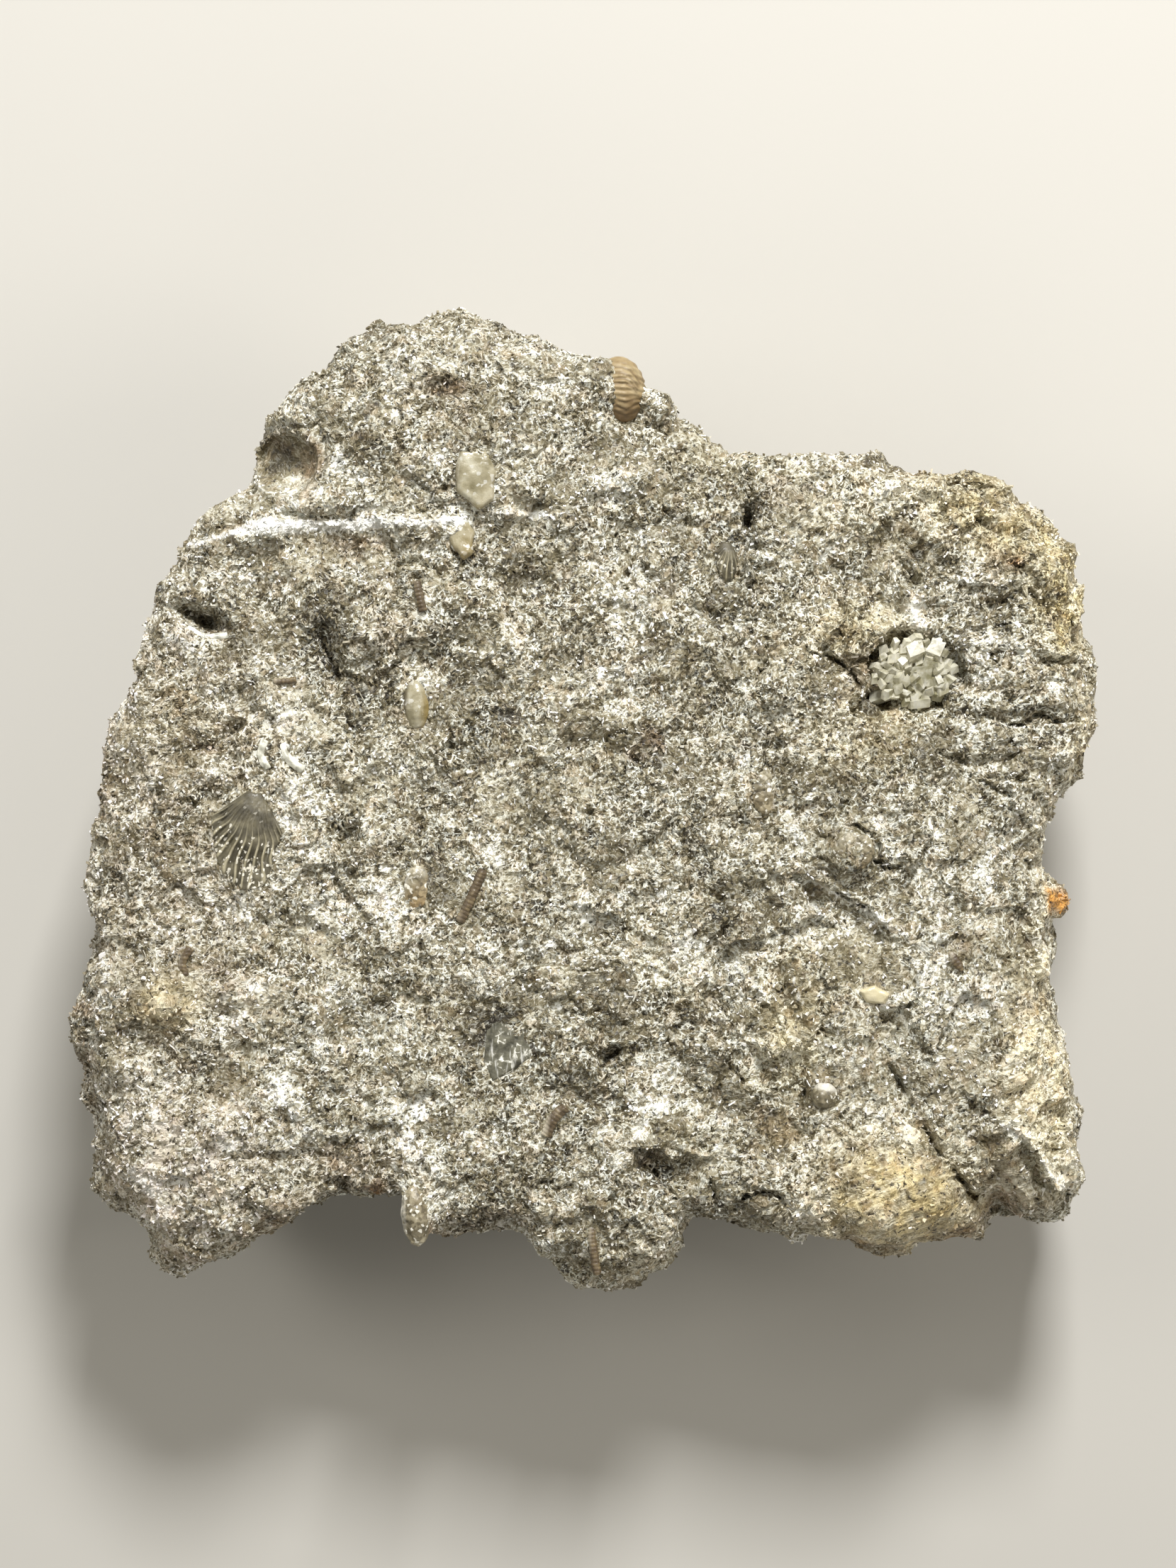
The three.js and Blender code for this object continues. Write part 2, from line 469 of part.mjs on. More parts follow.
// Fossils and crystals: name, shape, where it sits over the face (x, y, height above it), turns in degrees
// about x, y and z, colour and roughness
const PIECES = [
  ['trilobite_tail', trilobiteTail, [2.75, 35.62, -1.7], [0, 14, 6], 0xb79a6c, 0.45],
  ['fan_shell', fanShell, [-28.3, 1.7, 0.1], [2, 0, -14], 0x6f6a5e, 0.4],
  ['tan_shell_plate', plate(TAN_PLATE, 1.1), [-9.7, 27.9, -0.7], [4, 6, 0], 0xc9bb98, 0.25],
  ['amber_shell_tear', plate(TEAR_PLATE, 1.1), [-11.1, 22.8, -0.75], [-6, 0, 0], 0xb89a5c, 0.2],
  ['amber_rimmed_lens', lens(1.15, 2.15, 0.95), [-14.7, 8.5, -0.3], [0, 8, 4], 0xc2a77a, 0.25],
  ['grey_oval_lens', lens(1.3, 2.1, 0.8), [-14.7, -7.1, -0.25], [0, 0, -6], 0x968e78, 0.3],
  ['dark_ribbed_shell', lens(0.95, 1.75, 0.8), [11.95, 20.9, -0.2], [0, 10, 4], 0x55534b, 0.4],
  ['cone_shell', lens(1.6, 2.2, 1.3), [15.1, 1.2, -0.2], [-12, 0, 6], 0x8c8a7e, 0.45],
  ['cap_shell', lens(1.75, 1.7, 1.2), [22.75, -4, -0.1], [0, 0, 0], 0xb5ad97, 0.4],
  ['round_bead', lens(1.2, 1.2, 1.15), [20.3, -25, 0.1], [0, 0, 0], 0x9c937a, 0.3],
  ['smooth_edge_cap', lens(1.3, 2.9, 1.6), [-14.75, -35.1, -0.5], [-8, 0, 4], 0x9a9688, 0.35],
  ['slit_shell_edge', rod([[-1.9, 0.1, -0.1], [-0.4, -0.7, 0], [1.6, -0.5, -0.1]], 0.34), [-32.5, 15, 0.55],
    [0, 0, 0], 0xc3ccc9, 0.25],
  ['stem_piece_upper', rod([[-0.25, 1.35, 0], [0, 0, 0.1], [0.3, -1.35, 0]], 0.42), [-14.4, 17.8, 0.05],
    [0, 0, 0], 0x7b6247, 0.45],
  ['stem_piece_middle', rod([[1, 2.3, 0], [0.1, 0.1, 0.15], [-1, -2.2, 0]], 0.5), [-10, -7.9, 0.05],
    [0, 0, 0], 0x8a7152, 0.45],
  ['stem_piece_left', rod([[-1.1, -0.1, 0], [0, -0.05, 0.05], [1, 0.05, 0]], 0.32), [-25.9, 10.6, 0.05],
    [0, 0, 0], 0x7e6548, 0.45],
  ['stem_ring', rod([[0.35, 1.5, 0], [-0.35, 0.2, 0.1], [0.1, -1.4, 0]], 0.42), [-34.4, -13.8, 0.05],
    [0, 0, 0], 0xa99a78, 0.35],
  ['curved_flake', rod([[0.9, 1.1, 0], [-0.2, 0.1, 0.1], [-0.8, -1.4, 0]], 0.55), [-2.8, -27, 0],
    [0, 0, 0], 0xa4987b, 0.3],
  ['long_spine', rod([[-0.1, 2.6, 0.2], [0, 0.4, 0.1], [0.4, -2.3, -0.3]], 0.42), [0.4, -38.2, 0.3],
    [-10, 0, 0], 0x9c8a6a, 0.4],
  ['tan_spindle', lens(0.45, 1.1, 0.45, 8), [31.6, -13.5, 0.1], [0, 0, 32], 0xa58c66, 0.35],
  ['white_crescent_left', rod([[0.2, 1.3, 0], [-0.25, 0, 0.05], [0.4, -1.2, 0]], 0.36), [-27.8, 4.2, 0.15],
    [0, 0, 0], 0xefeee6, 0.25],
  ['white_crescent_right', rod([[-0.9, 1.2, 0], [-0.5, 0, 0.05], [0.9, -1.1, 0]], 0.42), [-25.3, 4, 0.15],
    [0, 0, 0], 0xefeee6, 0.25],
  ['cream_chip', plate(CHIP, 0.9, 0.2), [24.6, -16.4, -0.3], [8, -4, 0], 0xd9cfae, 0.35],
  ['glassy_plate', plate(GLASSY, 1, 0.3), [-6.6, -21.3, -0.3], [-5, 4, -14], 0x5d6259, 0.18],
  ['calcite_crust', calciteCrust, [28.2, 11.5, 0.55], [4, 6, 0], 0xcfcbb2, 0.15],
];

const trilobiteFossil = new THREE.Group();
let block = solidOf(limestoneBlock());
for (const [name, shape, [x, y, above], turns, color, roughness] of PIECES) {
  const mesh = new THREE.Mesh(shape(0), new THREE.MeshStandardMaterial({ color, roughness, metalness: 0 }));
  mesh.name = name;
  mesh.position.set(x, y, FACE_HEIGHT + relief(x, y) + above);
  mesh.rotation.set(...turns.map(THREE.MathUtils.degToRad));
  mesh.updateMatrix();
  block = block.subtract(solidOf(shape(GAP), mesh.matrix));
  trilobiteFossil.add(mesh);
}

const limestone = new THREE.MeshStandardMaterial({ color: 0xb3ab98, roughness: 0.75, metalness: 0 });
const matrixMesh = new THREE.Mesh(geometryOf(block), limestone);
matrixMesh.name = 'limestone_matrix';
trilobiteFossil.add(matrixMesh);

export default trilobiteFossil;
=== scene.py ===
"""A crinoidal limestone block with a trilobite's tail on its upper edge, lying with the fossil face up."""
import math

import bmesh
import bpy
import numpy as np
from mathutils import Matrix, Vector
from mathutils.bvhtree import BVHTree


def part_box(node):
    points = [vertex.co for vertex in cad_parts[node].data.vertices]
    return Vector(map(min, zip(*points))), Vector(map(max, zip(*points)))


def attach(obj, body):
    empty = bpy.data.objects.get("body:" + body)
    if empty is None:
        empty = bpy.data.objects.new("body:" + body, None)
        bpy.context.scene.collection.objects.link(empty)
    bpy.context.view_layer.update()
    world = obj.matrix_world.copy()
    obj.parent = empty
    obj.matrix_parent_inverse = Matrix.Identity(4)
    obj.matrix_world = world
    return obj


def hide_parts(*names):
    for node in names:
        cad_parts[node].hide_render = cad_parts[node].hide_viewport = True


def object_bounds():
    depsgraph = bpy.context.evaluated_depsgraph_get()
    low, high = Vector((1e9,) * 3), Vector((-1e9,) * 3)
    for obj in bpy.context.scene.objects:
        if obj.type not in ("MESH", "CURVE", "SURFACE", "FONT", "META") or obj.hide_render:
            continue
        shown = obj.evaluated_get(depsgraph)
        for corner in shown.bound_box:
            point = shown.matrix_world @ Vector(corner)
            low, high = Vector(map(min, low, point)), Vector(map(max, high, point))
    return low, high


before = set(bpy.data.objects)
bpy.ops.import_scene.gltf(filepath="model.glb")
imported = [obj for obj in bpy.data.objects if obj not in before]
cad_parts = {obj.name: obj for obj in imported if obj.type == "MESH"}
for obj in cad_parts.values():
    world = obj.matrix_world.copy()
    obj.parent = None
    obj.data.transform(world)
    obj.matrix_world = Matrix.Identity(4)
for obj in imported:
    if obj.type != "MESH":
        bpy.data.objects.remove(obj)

cad_box = [list(corner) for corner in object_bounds()]
MM = 0.001
FLOOR_Z = cad_box[0][2]

# Limestone block: the rock that holds everything, sea-bed lime made almost wholly of sea-lily stem grains and
# cemented by clear calcite. It was split along its bedding and broken round its edges, so each grain shows a
# flat cleaved face that glints. The pieces' sizes are in millimetres, the frame and the studio in metres.
WALL_GRID = 0.68
FACE_GRID = 0.38
FACE_STARTS = 14
FACE_FULL = 18
GRAIN = 1.05
SMALL_GRAIN = 0.55
GRAIN_RELIEF = 0.2
SMALL_GRAIN_RELIEF = 0.1
FACET_STEP = 1.3
FACET_LEAN = 1.5
SMALL_LUMP = 2.3
LUMP = 4.7
LUMP_RELIEF = 0.5
PATCH = 2.7
PATCH_RELIEF = 0.5
SCALLOP = 4.2
SCALLOP_RELIEF = 1.0
TREAD = 0.9
TREAD_SPREAD = 11
TREAD_RISE = 2.2
TREAD_WANDER = 2.6
SKIN_SINKS = 0.1
LEVEL_BELOW = 1.2
SEAT_TUCK = 0.3
SEAT_SPREAD = 0.2
HOLLOW_SPREAD = 0.7
HOLLOW_TUCK = 1.5
ROCK_CLOSES_IN = 0.2
FOSSIL_LEVEL = 1.3
RIDGE_BEND = 0.4
CRACK_BEND = 0.45
PIT_BEND = 0.5


def bare_copy(name, nodes):
    """One new object with the joined meshes of these nodes, their doubled points merged."""
    joined = bmesh.new()
    for node in nodes:
        joined.from_mesh(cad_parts[node].data)
    bmesh.ops.remove_doubles(joined, verts=joined.verts, dist=0.002 * MM)
    mesh = bpy.data.meshes.new(name)
    joined.to_mesh(mesh)
    joined.free()
    piece = bpy.data.objects.new(name, mesh)
    bpy.context.scene.collection.objects.link(piece)
    return piece


def bake_modifiers(piece):
    """Makes what the piece's modifiers show its own mesh."""
    graph = bpy.context.evaluated_depsgraph_get()
    made = bpy.data.meshes.new_from_object(piece.evaluated_get(graph))
    piece.modifiers.clear()
    piece.data = made


def even_skin(piece, grid, rounds):
    """Rebuilds the piece's skin from small even faces and softens it."""
    remesh = piece.modifiers.new("even skin", "REMESH")
    remesh.mode = "VOXEL"
    remesh.voxel_size = grid * MM
    smooth = piece.modifiers.new("soften", "SMOOTH")
    smooth.factor = 0.5
    smooth.iterations = rounds
    bake_modifiers(piece)


def places(mesh):
    """The mesh's points as rows of x, y, z in millimetres."""
    flat = np.empty(3 * len(mesh.vertices), np.float32)
    mesh.vertices.foreach_get("co", flat)
    return flat.reshape(-1, 3).astype(float) / MM


def normals(mesh):
    """The directions that the mesh's skin faces at its points."""
    flat = np.empty(3 * len(mesh.vertices), np.float32)
    mesh.vertex_normals.foreach_get("vector", flat)
    return flat.reshape(-1, 3).astype(float)


def move_to(mesh, points):
    """Puts the mesh's points at these places, given in millimetres."""
    mesh.vertices.foreach_set("co", (points * MM).astype(np.float32).ravel())
    mesh.update()


def paint(mesh, layer, amounts):
    """Writes how much of a colour layer each point of the mesh has."""
    data = mesh.attributes.new(layer, "FLOAT", "POINT").data
    data.foreach_set("value", np.clip(amounts, 0, 1).astype(np.float32))


def fade(values, starts, ends):
    """0 where a value is at starts, 1 where it is at ends, and evenly between."""
    return np.clip((values - starts) / (ends - starts), 0, 1)


def ease(part):
    """A share from 0 to 1 that leaves both ends slowly."""
    return part * part * (3 - 2 * part)


def hashed(cells, seed):
    """Repeatable random numbers from 0 to 1, one for each whole-numbered cell."""
    mixed = cells.astype(np.int64) @ np.array([73856093, 19349663, 83492791]) + seed * 974634779
    mixed = (mixed ^ (mixed >> 13)) * 1274126177
    mixed = (mixed ^ (mixed >> 16)) * 668265263
    return ((mixed >> 8) & 0xFFFFF) / 0xFFFFF


def swell(points, size, seed):
    """Smooth random rise and fall from -1 to 1, with features of the given size."""
    low = np.floor(points / size).astype(np.int64)
    part = ease(points / size - low)
    total = np.zeros(len(points))
    for corner in np.ndindex(2, 2, 2):
        weight = np.prod(np.where(corner, part, 1 - part), axis=1)
        total += weight * hashed(low + corner, seed)
    return 2 * total - 1


def facets(points, size, seed):
    """Height of the broken crystal face that each point lies on: a flat, tilted facet for each grain."""
    low = np.floor(points / size).astype(np.int64)
    nearest = np.full(len(points), np.inf)
    height = np.zeros(len(points))
    for step in np.ndindex(3, 3, 3):
        cell = low + np.array(step) - 1
        centre = cell + np.stack([hashed(cell, seed + axis) for axis in range(3)], axis=1)
        away = points / size - centre
        distance = (away**2).sum(axis=1)
        tilt = np.stack([hashed(cell, seed + 3 + axis) for axis in range(3)], axis=1) - 0.5
        facet = FACET_STEP * (hashed(cell, seed + 6) - 0.5) + FACET_LEAN * (away * tilt).sum(axis=1)
        height = np.where(distance < nearest, facet, height)
        nearest = np.minimum(nearest, distance)
    return height


def path_distance(points, path):
    """Distance of each point to a path seen from above, and its side: 1 on the left of the way it runs."""
    best = np.full(len(points), np.inf)
    side = np.ones(len(points))
    for start, end in zip(np.array(path[:-1]), np.array(path[1:])):
        run = end - start
        away = points[:, :2] - start
        along = np.clip(away @ run / (run @ run), 0, 1)
        distance = np.linalg.norm(away - along[:, None] * run, axis=1)
        turn = np.where(run[0] * away[:, 1] - run[1] * away[:, 0] < 0, -1, 1)
        side = np.where(distance < best, turn, side)
        best = np.minimum(best, distance)
    return best, side


def spot(points, x, y, half_length, half_width, turn=0):
    """1 in the middle of an oval place of the face, fading to 0 outside it."""
    angle = math.radians(turn)
    dx = points[:, 0] - x
    dy = points[:, 1] - y
    along = (dx * math.cos(angle) + dy * math.sin(angle)) / half_length
    across = (dy * math.cos(angle) - dx * math.sin(angle)) / half_width
    return np.exp(-((along**2 + across**2) ** 1.5) * 0.7)


def bent(points, share=1):
    """The places, shifted a little, so that what is measured from them wanders like the edge of a break."""
    shift = [
        0.75 * swell(points, 3.3, 51 + axis) + 0.32 * swell(points, 1.1, 61 + axis) for axis in range(2)]
    return points + share * np.stack([*shift, np.zeros(len(points))], axis=1)


# Cracks and sharp grooves of the face: depth, half width, path
CRACKS = [
    (1.2, 0.24, [(-35.2, 5.2), (-34, 4.8), (-32.6, 4.9), (-31, 5.9), (-29.8, 6.8)]),
    (0.8, 0.25, [(-22.9, 14.2), (-22, 13.4), (-22.4, 12.7), (-21.4, 12.2), (-21.7, 11.5), (-20.7, 11.4),
                 (-19.8, 10.8), (-18.8, 11.4), (-18, 11), (-16.6, 11.9), (-15.3, 12.4)]),
    (1.3, 0.3, [(20.1, 13.5), (20.9, 12.6), (22.1, 12.1), (23.4, 12.2), (24.9, 12.8), (25.9, 13.4)]),
    (1.8, 0.3, [(25.9, -22.4), (26.9, -24.1), (27.8, -26.1), (28.6, -27.4), (29.4, -28.5), (30.4, -30.2)]),
    (1.4, 0.26, [(30.4, -30.2), (31.5, -31.5), (32.8, -32.7), (33.9, -34.2)]),
    (1.1, 0.22, [(31, 27.3), (31.8, 27.7), (32.8, 27.7), (34.5, 27.3), (36.4, 27.3)]),
    (0.8, 0.16, [(27.9, 28.2), (29.3, 28), (30.2, 28.2)]),
    (0.9, 0.2, [(13.4, -33.7), (14.2, -33.3), (15.1, -33.2), (16, -33.5), (17, -34.2)]),
    (0.8, 0.16, [(21.2, -7.9), (22.6, -8.5), (24.2, -9.1)]),
    (0.7, 0.14, [(24.5, -4.9), (25.9, -5.4), (27.2, -5.7)]),
    (0.9, 0.2, [(33.2, 2.3), (35, 1.4), (36.4, 0.5), (37.6, 0.2)]),
    (0.8, 0.2, [(33, 2.8), (35.4, 2), (37.6, 2.1)]),
    (0.9, 0.18, [(34.9, 7.2), (37, 6.6), (38.9, 7.4), (40.2, 6.9), (42, 7)]),
    (0.8, 0.18, [(30.1, 4.6), (31.4, 4.2), (32.6, 3.8)]),
    (0.7, 0.18, [(33.6, 12.6), (36, 13.1), (38.6, 12.6), (41.9, 12.2)]),
    (0.4, 0.12, [(30.8, 15.2), (34, 16.6), (38, 17.8), (42.4, 18.6)]),
    (0.4, 0.12, [(31.6, 14.2), (35.4, 15), (39.4, 15.6), (43, 15.8)]),
    (0.4, 0.12, [(30.2, 16.6), (33, 18.4), (36.4, 20.2), (40, 21.6)]),
    (0.4, 0.12, [(33.4, 9.6), (37, 10.6), (40.6, 10.2), (43.6, 9.4)]),
    (0.8, 0.16, [(21.8, -17.9), (20.2, -18.8), (18.9, -20.6), (18.4, -22.8), (18.3, -25.4), (18.5, -28.4)]),
    (0.7, 0.18, [(-39.6, -22.4), (-39.2, -23.4), (-39.3, -24.8)]),
    (0.6, 0.14, [(-41.6, -22), (-40.8, -21.4), (-40.2, -20.8)]),
    (0.7, 0.14, [(0.2, -37), (0.6, -38.6), (1, -40.6)]),
    (0.6, 0.14, [(3, -38.4), (3.2, -39.8), (3.2, -41)]),
    (0.9, 0.2, [(18.2, -28.2), (18, -29.1), (18.1, -30)]),
    (0.8, 0.2, [(-26.2, -20.4), (-25, -20.7), (-24.2, -20.9)]),
    (0.7, 0.2, [(-43.6, -17.8), (-42.6, -18.1)]),
    (0.8, 0.18, [(1.4, -22.4), (2.4, -21.4), (4.6, -20.4)]),
    (0.7, 0.16, [(5.6, -31.4), (6.6, -32.8), (7.4, -33.6)]),
    (0.8, 0.2, [(10.5, -32.4), (10.9, -34), (11.2, -36)]),
]

# Crisp edges where the face steps down to the right of the path: drop, reach of the low ground, path
LEDGES = [
    (1.5, 1.6, [(14.2, 18.6), (14.5, 20.2), (14, 22), (13.2, 23), (12.7, 24.6), (13.1, 26), (13.2, 29)]),
    (1.1, 1.4, [(16.6, -25.2), (15, -24.3), (13.1, -23.6), (12.2, -22), (11.4, -19.6), (10.5, -17.9)]),
    (0.9, 1.3, [(4.8, -29.7), (6.2, -29.9), (7.5, -30.1), (9.8, -30.4)]),
    (0.5, 1, [(-24.6, 15.6), (-22.6, 14.6), (-21.9, 13), (-21.3, 11.4)]),
    (0.8, 1.2, [(30.4, 19.6), (29.2, 19), (28.2, 19.1), (27.4, 20)]),
    (1.5, 1.4, [(19.7, 13), (21.6, 12.3), (23.2, 10.4), (23.1, 8.8), (22.4, 7.6), (19.5, 6.2)]),
    (0.7, 1, [(22.1, -1.7), (23.4, -2), (24.4, -2.8), (24.9, -4)]),
    (0.5, 1.4, [(19.2, -6.8), (21.9, -8.2), (23.2, -9.4), (25.2, -10.6), (27.3, -11.8)]),
    (0.8, 1.4, [(28.6, -4.2), (29.9, -1.6), (29.6, 0.6), (27.6, 3.2), (25.3, 5.2)]),
    (1.2, 1.6, [(33.2, -25.8), (35.4, -27.8), (37.4, -29.6), (39.6, -31.8), (41.9, -34.2)]),
    (0.8, 1.2, [(-21.8, -32), (-20, -32), (-18.4, -32.9), (-17.2, -33.8)]),
    (0.4, 1.4, [(28.4, 16.7), (31.6, 17.6), (35, 17.4), (38, 18.2), (41.6, 17.2)]),
    (0.6, 0.9, [(-29.4, -30.2), (-26.4, -29.8), (-23.4, -29.4), (-21.9, -28.8)]),
    (0.6, 0.9, [(-44, -15.8), (-41, -15.8), (-39.2, -15.2)]),
    (0.7, 1.5, [(15.2, -3.4), (14.4, 1.2), (15.2, 6.4), (14.6, 11), (15.6, 14.8)]),
    (0.7, 1.5, [(27.6, -17.4), (24.8, -19.6), (22.2, -20.8), (19.8, -19.6)]),
    (0.6, 1.4, [(8.6, -9.8), (4.6, -13.6), (-0.6, -14.8), (-4.6, -13.6)]),
    (0.6, 1.3, [(2.6, 22.6), (-1.6, 20.4), (-5.4, 20.2), (-9.4, 18)]),
    (0.6, 1.3, [(-17.4, 1.4), (-20.6, -1.4), (-21.4, -5.4), (-19.4, -9.2)]),
    (0.6, 1.3, [(6.4, 9.8), (3.4, 6.4), (-0.8, 4.6), (-5.8, 5.4)]),
]

# Smooth broken bodies in the face, such as the mould's inside: x, y, half length and width, turn, strength
CALM = [
    (-26, 29.2, 3.1, 3.1, 0, 1), (14.8, -35.3, 1.7, 1.7, 0, 0.9), (34.4, -29.8, 1.3, 3, 40, 0.8),
    (22.4, -22.8, 3.6, 4, 0, 0.5), (40.6, -31.6, 2, 4, 0, 0.6), (27.9, -34.5, 7, 5, -20, 0.78),
    (38.8, -28.4, 3.4, 5, 0, 0.45), (36.8, -32.8, 1.5, 2.8, 40, 0.8), (-36.1, -17.2, 2.3, 2.1, 0, 0.6),
    (-9, 31.6, 1.4, 0.9, 20, 0.7), (-7.6, 33.6, 1.1, 1.3, 0, 0.7), (-14.4, 13.6, 0.6, 0.4, 0, 0.9),
    (24.6, 9.2, 1.6, 1.4, 0, 0.9), (16.4, -28.1, 1.6, 1.4, 0, 0.7), (34.3, -12.6, 2.6, 2.6, 0, 0.5),
    (-29.6, -22, 1.8, 1.5, 0, 0.6), (-18.4, -18, 1, 1.4, 0, 0.6), (-23.4, -11.4, 2, 1.4, 20, 0.5),
    (-3.5, 20.6, 1.2, 1.2, 0, 0.7), (-11.4, 17.8, 0.7, 1.6, 10, 0.6), (9.6, 16.4, 1.2, 1.6, 0, 0.5),
    (26.9, -9, 1.6, 2.2, 0, 0.5), (28.6, 22, 1.6, 1.6, 0, 0.5), (40, -3, 2, 4, 0, 0.4),
]

# Places where the spar grew as fibres and breaks into streaks: x, y, half length and width, turn, strength
FIBROUS = [
    (37, 13, 7.5, 5, 15, 1), (38.5, 2.5, 5.5, 4, 0, 0.8), (40, -21, 4.5, 11, 0, 0.9),
    (30, -12, 5, 4, -25, 0.5), (27.9, -34.5, 6.5, 4.5, -20, 0.6), (24.6, -5, 4, 3, -20, 0.5),
    (-5, 33, 4, 3, 10, 0.4),
]

# Small sharp pits: x, y, half length, half width, turn in degrees, depth
PITS = [
    (-32.9, 16, 1.9, 0.75, -20, 3.2), (-22.4, 13.6, 1.2, 1.6, 20, 0.7), (3.3, 33.1, 1.5, 1, 0, 1.3),
    (-31, 6.5, 0.9, 0.5, 25, 1.2), (13.6, 24.2, 0.5, 1.3, -12, 1.6), (11.9, 20.9, 1.1, 1.9, 0, 0.5),
    (24.6, 8.8, 1.5, 0.7, 5, 2.4), (-17.9, -17.3, 0.8, 0.6, 0, 1.1), (0, -0.7, 0.5, 0.4, 0, 0.7),
    (31.9, 27.8, 0.7, 0.3, 10, 0.8), (28.1, 19.2, 1, 0.5, -10, 1.1), (20.3, 13.4, 0.5, 0.5, 0, 0.9),
    (-14.9, 19.4, 0.5, 0.35, 0, 0.8), (36.3, -35.3, 1.2, 1, 0, 1), (-34.9, 16.4, 0.9, 0.3, -20, 0.6),
    (2, -21.6, 0.8, 0.5, 30, 0.8), (-30.9, -17.8, 0.9, 0.5, -20, 0.7), (-23.6, -21.9, 0.5, 0.4, 0, 0.6),
    (7.2, -31.8, 1.6, 0.7, -20, 0.9), (12.6, -30.4, 0.6, 0.3, 0, 0.7), (-19.4, -32.8, 1.6, 0.5, -12, 1),
    (2.3, 22.5, 0.4, 0.6, 0, 0.7), (6.6, 32.5, 0.5, 0.4, 0, 0.6), (16, -25.3, 0.9, 0.5, -10, 0.9),
    (12, -13.4, 0.8, 0.6, 0, 0.7), (26.9, 16.5, 0.8, 0.5, -10, 0.5), (32.4, 4, 0.9, 0.4, -15, 0.7),
    (10.4, -16.6, 1.2, 0.8, -30, 0.7),
]

# Raised lines of harder spar: height, half width, path
RIDGES = [
    (1.0, 1.0, [(-34.5, 21.6), (-30.1, 22.5), (-26.9, 22.9), (-23.4, 22.9), (-17.6, 23.2), (-10.7, 23.4)]),
    (0.5, 0.5, [(-34.5, 22.3), (-32.3, 22.8), (-30.1, 23.4), (-26.9, 23.7), (-23.4, 23.6), (-20.4, 23.8),
                (-17.6, 24.2), (-13.6, 24.2), (-10.7, 24.3), (-6.7, 24.9)]),
    (1.1, 1.7, [(-36.5, -17.1), (-35.7, -17.4)]), (0.4, 1.2, [(-25.8, -25), (-25.2, -24.9)]),
    (0.6, 0.5, [(35.4, -27.4), (37.6, -29.2), (39.7, -31.4), (42.1, -33.8)]),
    (0.4, 0.4, [(19.2, -6.3), (21.9, -7.8), (23.6, -8.7), (25.4, -10.1), (27.3, -11.3)]),
    (0.5, 0.5, [(30.4, 14.2), (34.6, 13.7), (38.6, 13.5), (42.4, 12.9)]),
    (0.5, 0.5, [(31.6, 8.4), (35.2, 8.2), (38.8, 8.6), (43.2, 8.3)]),
]

# Cup-shaped mould left by a round stem piece that fell out, with its raised rim
CUP = {"x": -26, "y": 29.2, "radius": 2.8, "depth": 1.5, "rim": 0.45, "rim_width": 0.14}

# Smooth olive mound of the lower right: x, y, half length, half width, turn
MOUND = (27.9, -34.5, 7, 5.4, -20)

# Parts of the face that broke into broad smooth scallops: x, y, half length, half width, turn, strength
SMOOTHER = [
    (28, -14, 17, 14, -25, 1), (37, 8, 8, 12, 0, 0.8), (*MOUND, 1), (-26, 29.2, 3, 3, 0, 1),
    (8, -24, 10, 9, 0, 0.6), (34, -30, 10, 7, -35, 0.9), (30, 24, 9, 4, 0, 0.5), (-28, -24, 6, 5, 0, 0.35),
]


def cup_distance(points):
    """Distance from the middle of the cup-shaped mould, 1 on its rim."""
    ragged = 1 + 0.04 * swell(points, 1.1, 73)
    return np.hypot(points[:, 0] - CUP["x"], points[:, 1] - CUP["y"]) / CUP["radius"] * ragged


def carve_face(points):
    """Height to add to the face: its ridges, the cup-shaped mould, and the cracks, ledges and pits."""
    height = np.zeros(len(points))
    deeper = np.clip(0.75 + 0.9 * swell(points, 1.8, 71), 0.1, 1.4)
    by_ridge = bent(points, RIDGE_BEND)
    for rise, half_width, path in RIDGES:
        distance, _ = path_distance(by_ridge, path)
        height += rise * np.exp(-((distance / half_width) ** 2))
    out = cup_distance(points)
    height -= CUP["depth"] * np.sqrt(np.clip(1 - out**2, 0, 1))
    height += CUP["rim"] * np.exp(-(((out - 1.06) / CUP["rim_width"]) ** 2))
    by_crack = bent(points, CRACK_BEND)
    for depth, half_width, path in CRACKS:
        distance, _ = path_distance(by_crack, path)
        height -= depth * deeper * np.exp(-((distance / half_width) ** 2))
    by_ledge = bent(points)
    for drop, reach, path in LEDGES:
        distance, side = path_distance(by_ledge, path)
        low = -drop * np.exp(-distance / reach)
        lip = 0.4 * drop * np.exp(-distance / (0.6 * reach))
        height += deeper * np.where(side < 0, low, lip)
    by_pit = bent(points, PIT_BEND)
    for x, y, half_length, half_width, turn, depth in PITS:
        height -= depth * spot(by_pit, x, y, half_length, half_width, turn)
    return height


def broken_bedding(points):
    """Rise and fall of a face that broke along its bedding: sloping treads with crisp, wandering edges."""
    wandering = bent(points)
    for axis in range(2):
        wandering[:, axis] += TREAD_WANDER * swell(points, 6, 97 + axis)
    rise = TREAD_RISE * swell(wandering, TREAD_SPREAD, 95)
    step = np.floor(rise / TREAD)
    part = ease(fade(rise / TREAD - step, 0.4, 0.6))
    in_places = np.clip(0.5 + 1.6 * swell(points, 7, 99), 0, 1)
    return in_places * (TREAD * (step + part) - 0.8 * rise)


def clear_of_fossils(points):
    """0 at the fossils, 1 where the rock is far enough from them to rise and fall freely."""
    nearest = np.array([fossil_tree.find_nearest(Vector(point))[3] for point in points * MM]) / MM
    return fade(nearest, ROCK_CLOSES_IN, ROCK_CLOSES_IN + FOSSIL_LEVEL)


def share_of(ovals, points):
    """How far each point lies in these oval places of the face, from 0 to their strength."""
    share = np.zeros(len(points))
    for x, y, half_length, half_width, turn, strength in ovals:
        share = np.maximum(share, strength * spot(points, x, y, half_length, half_width, turn))
    return share


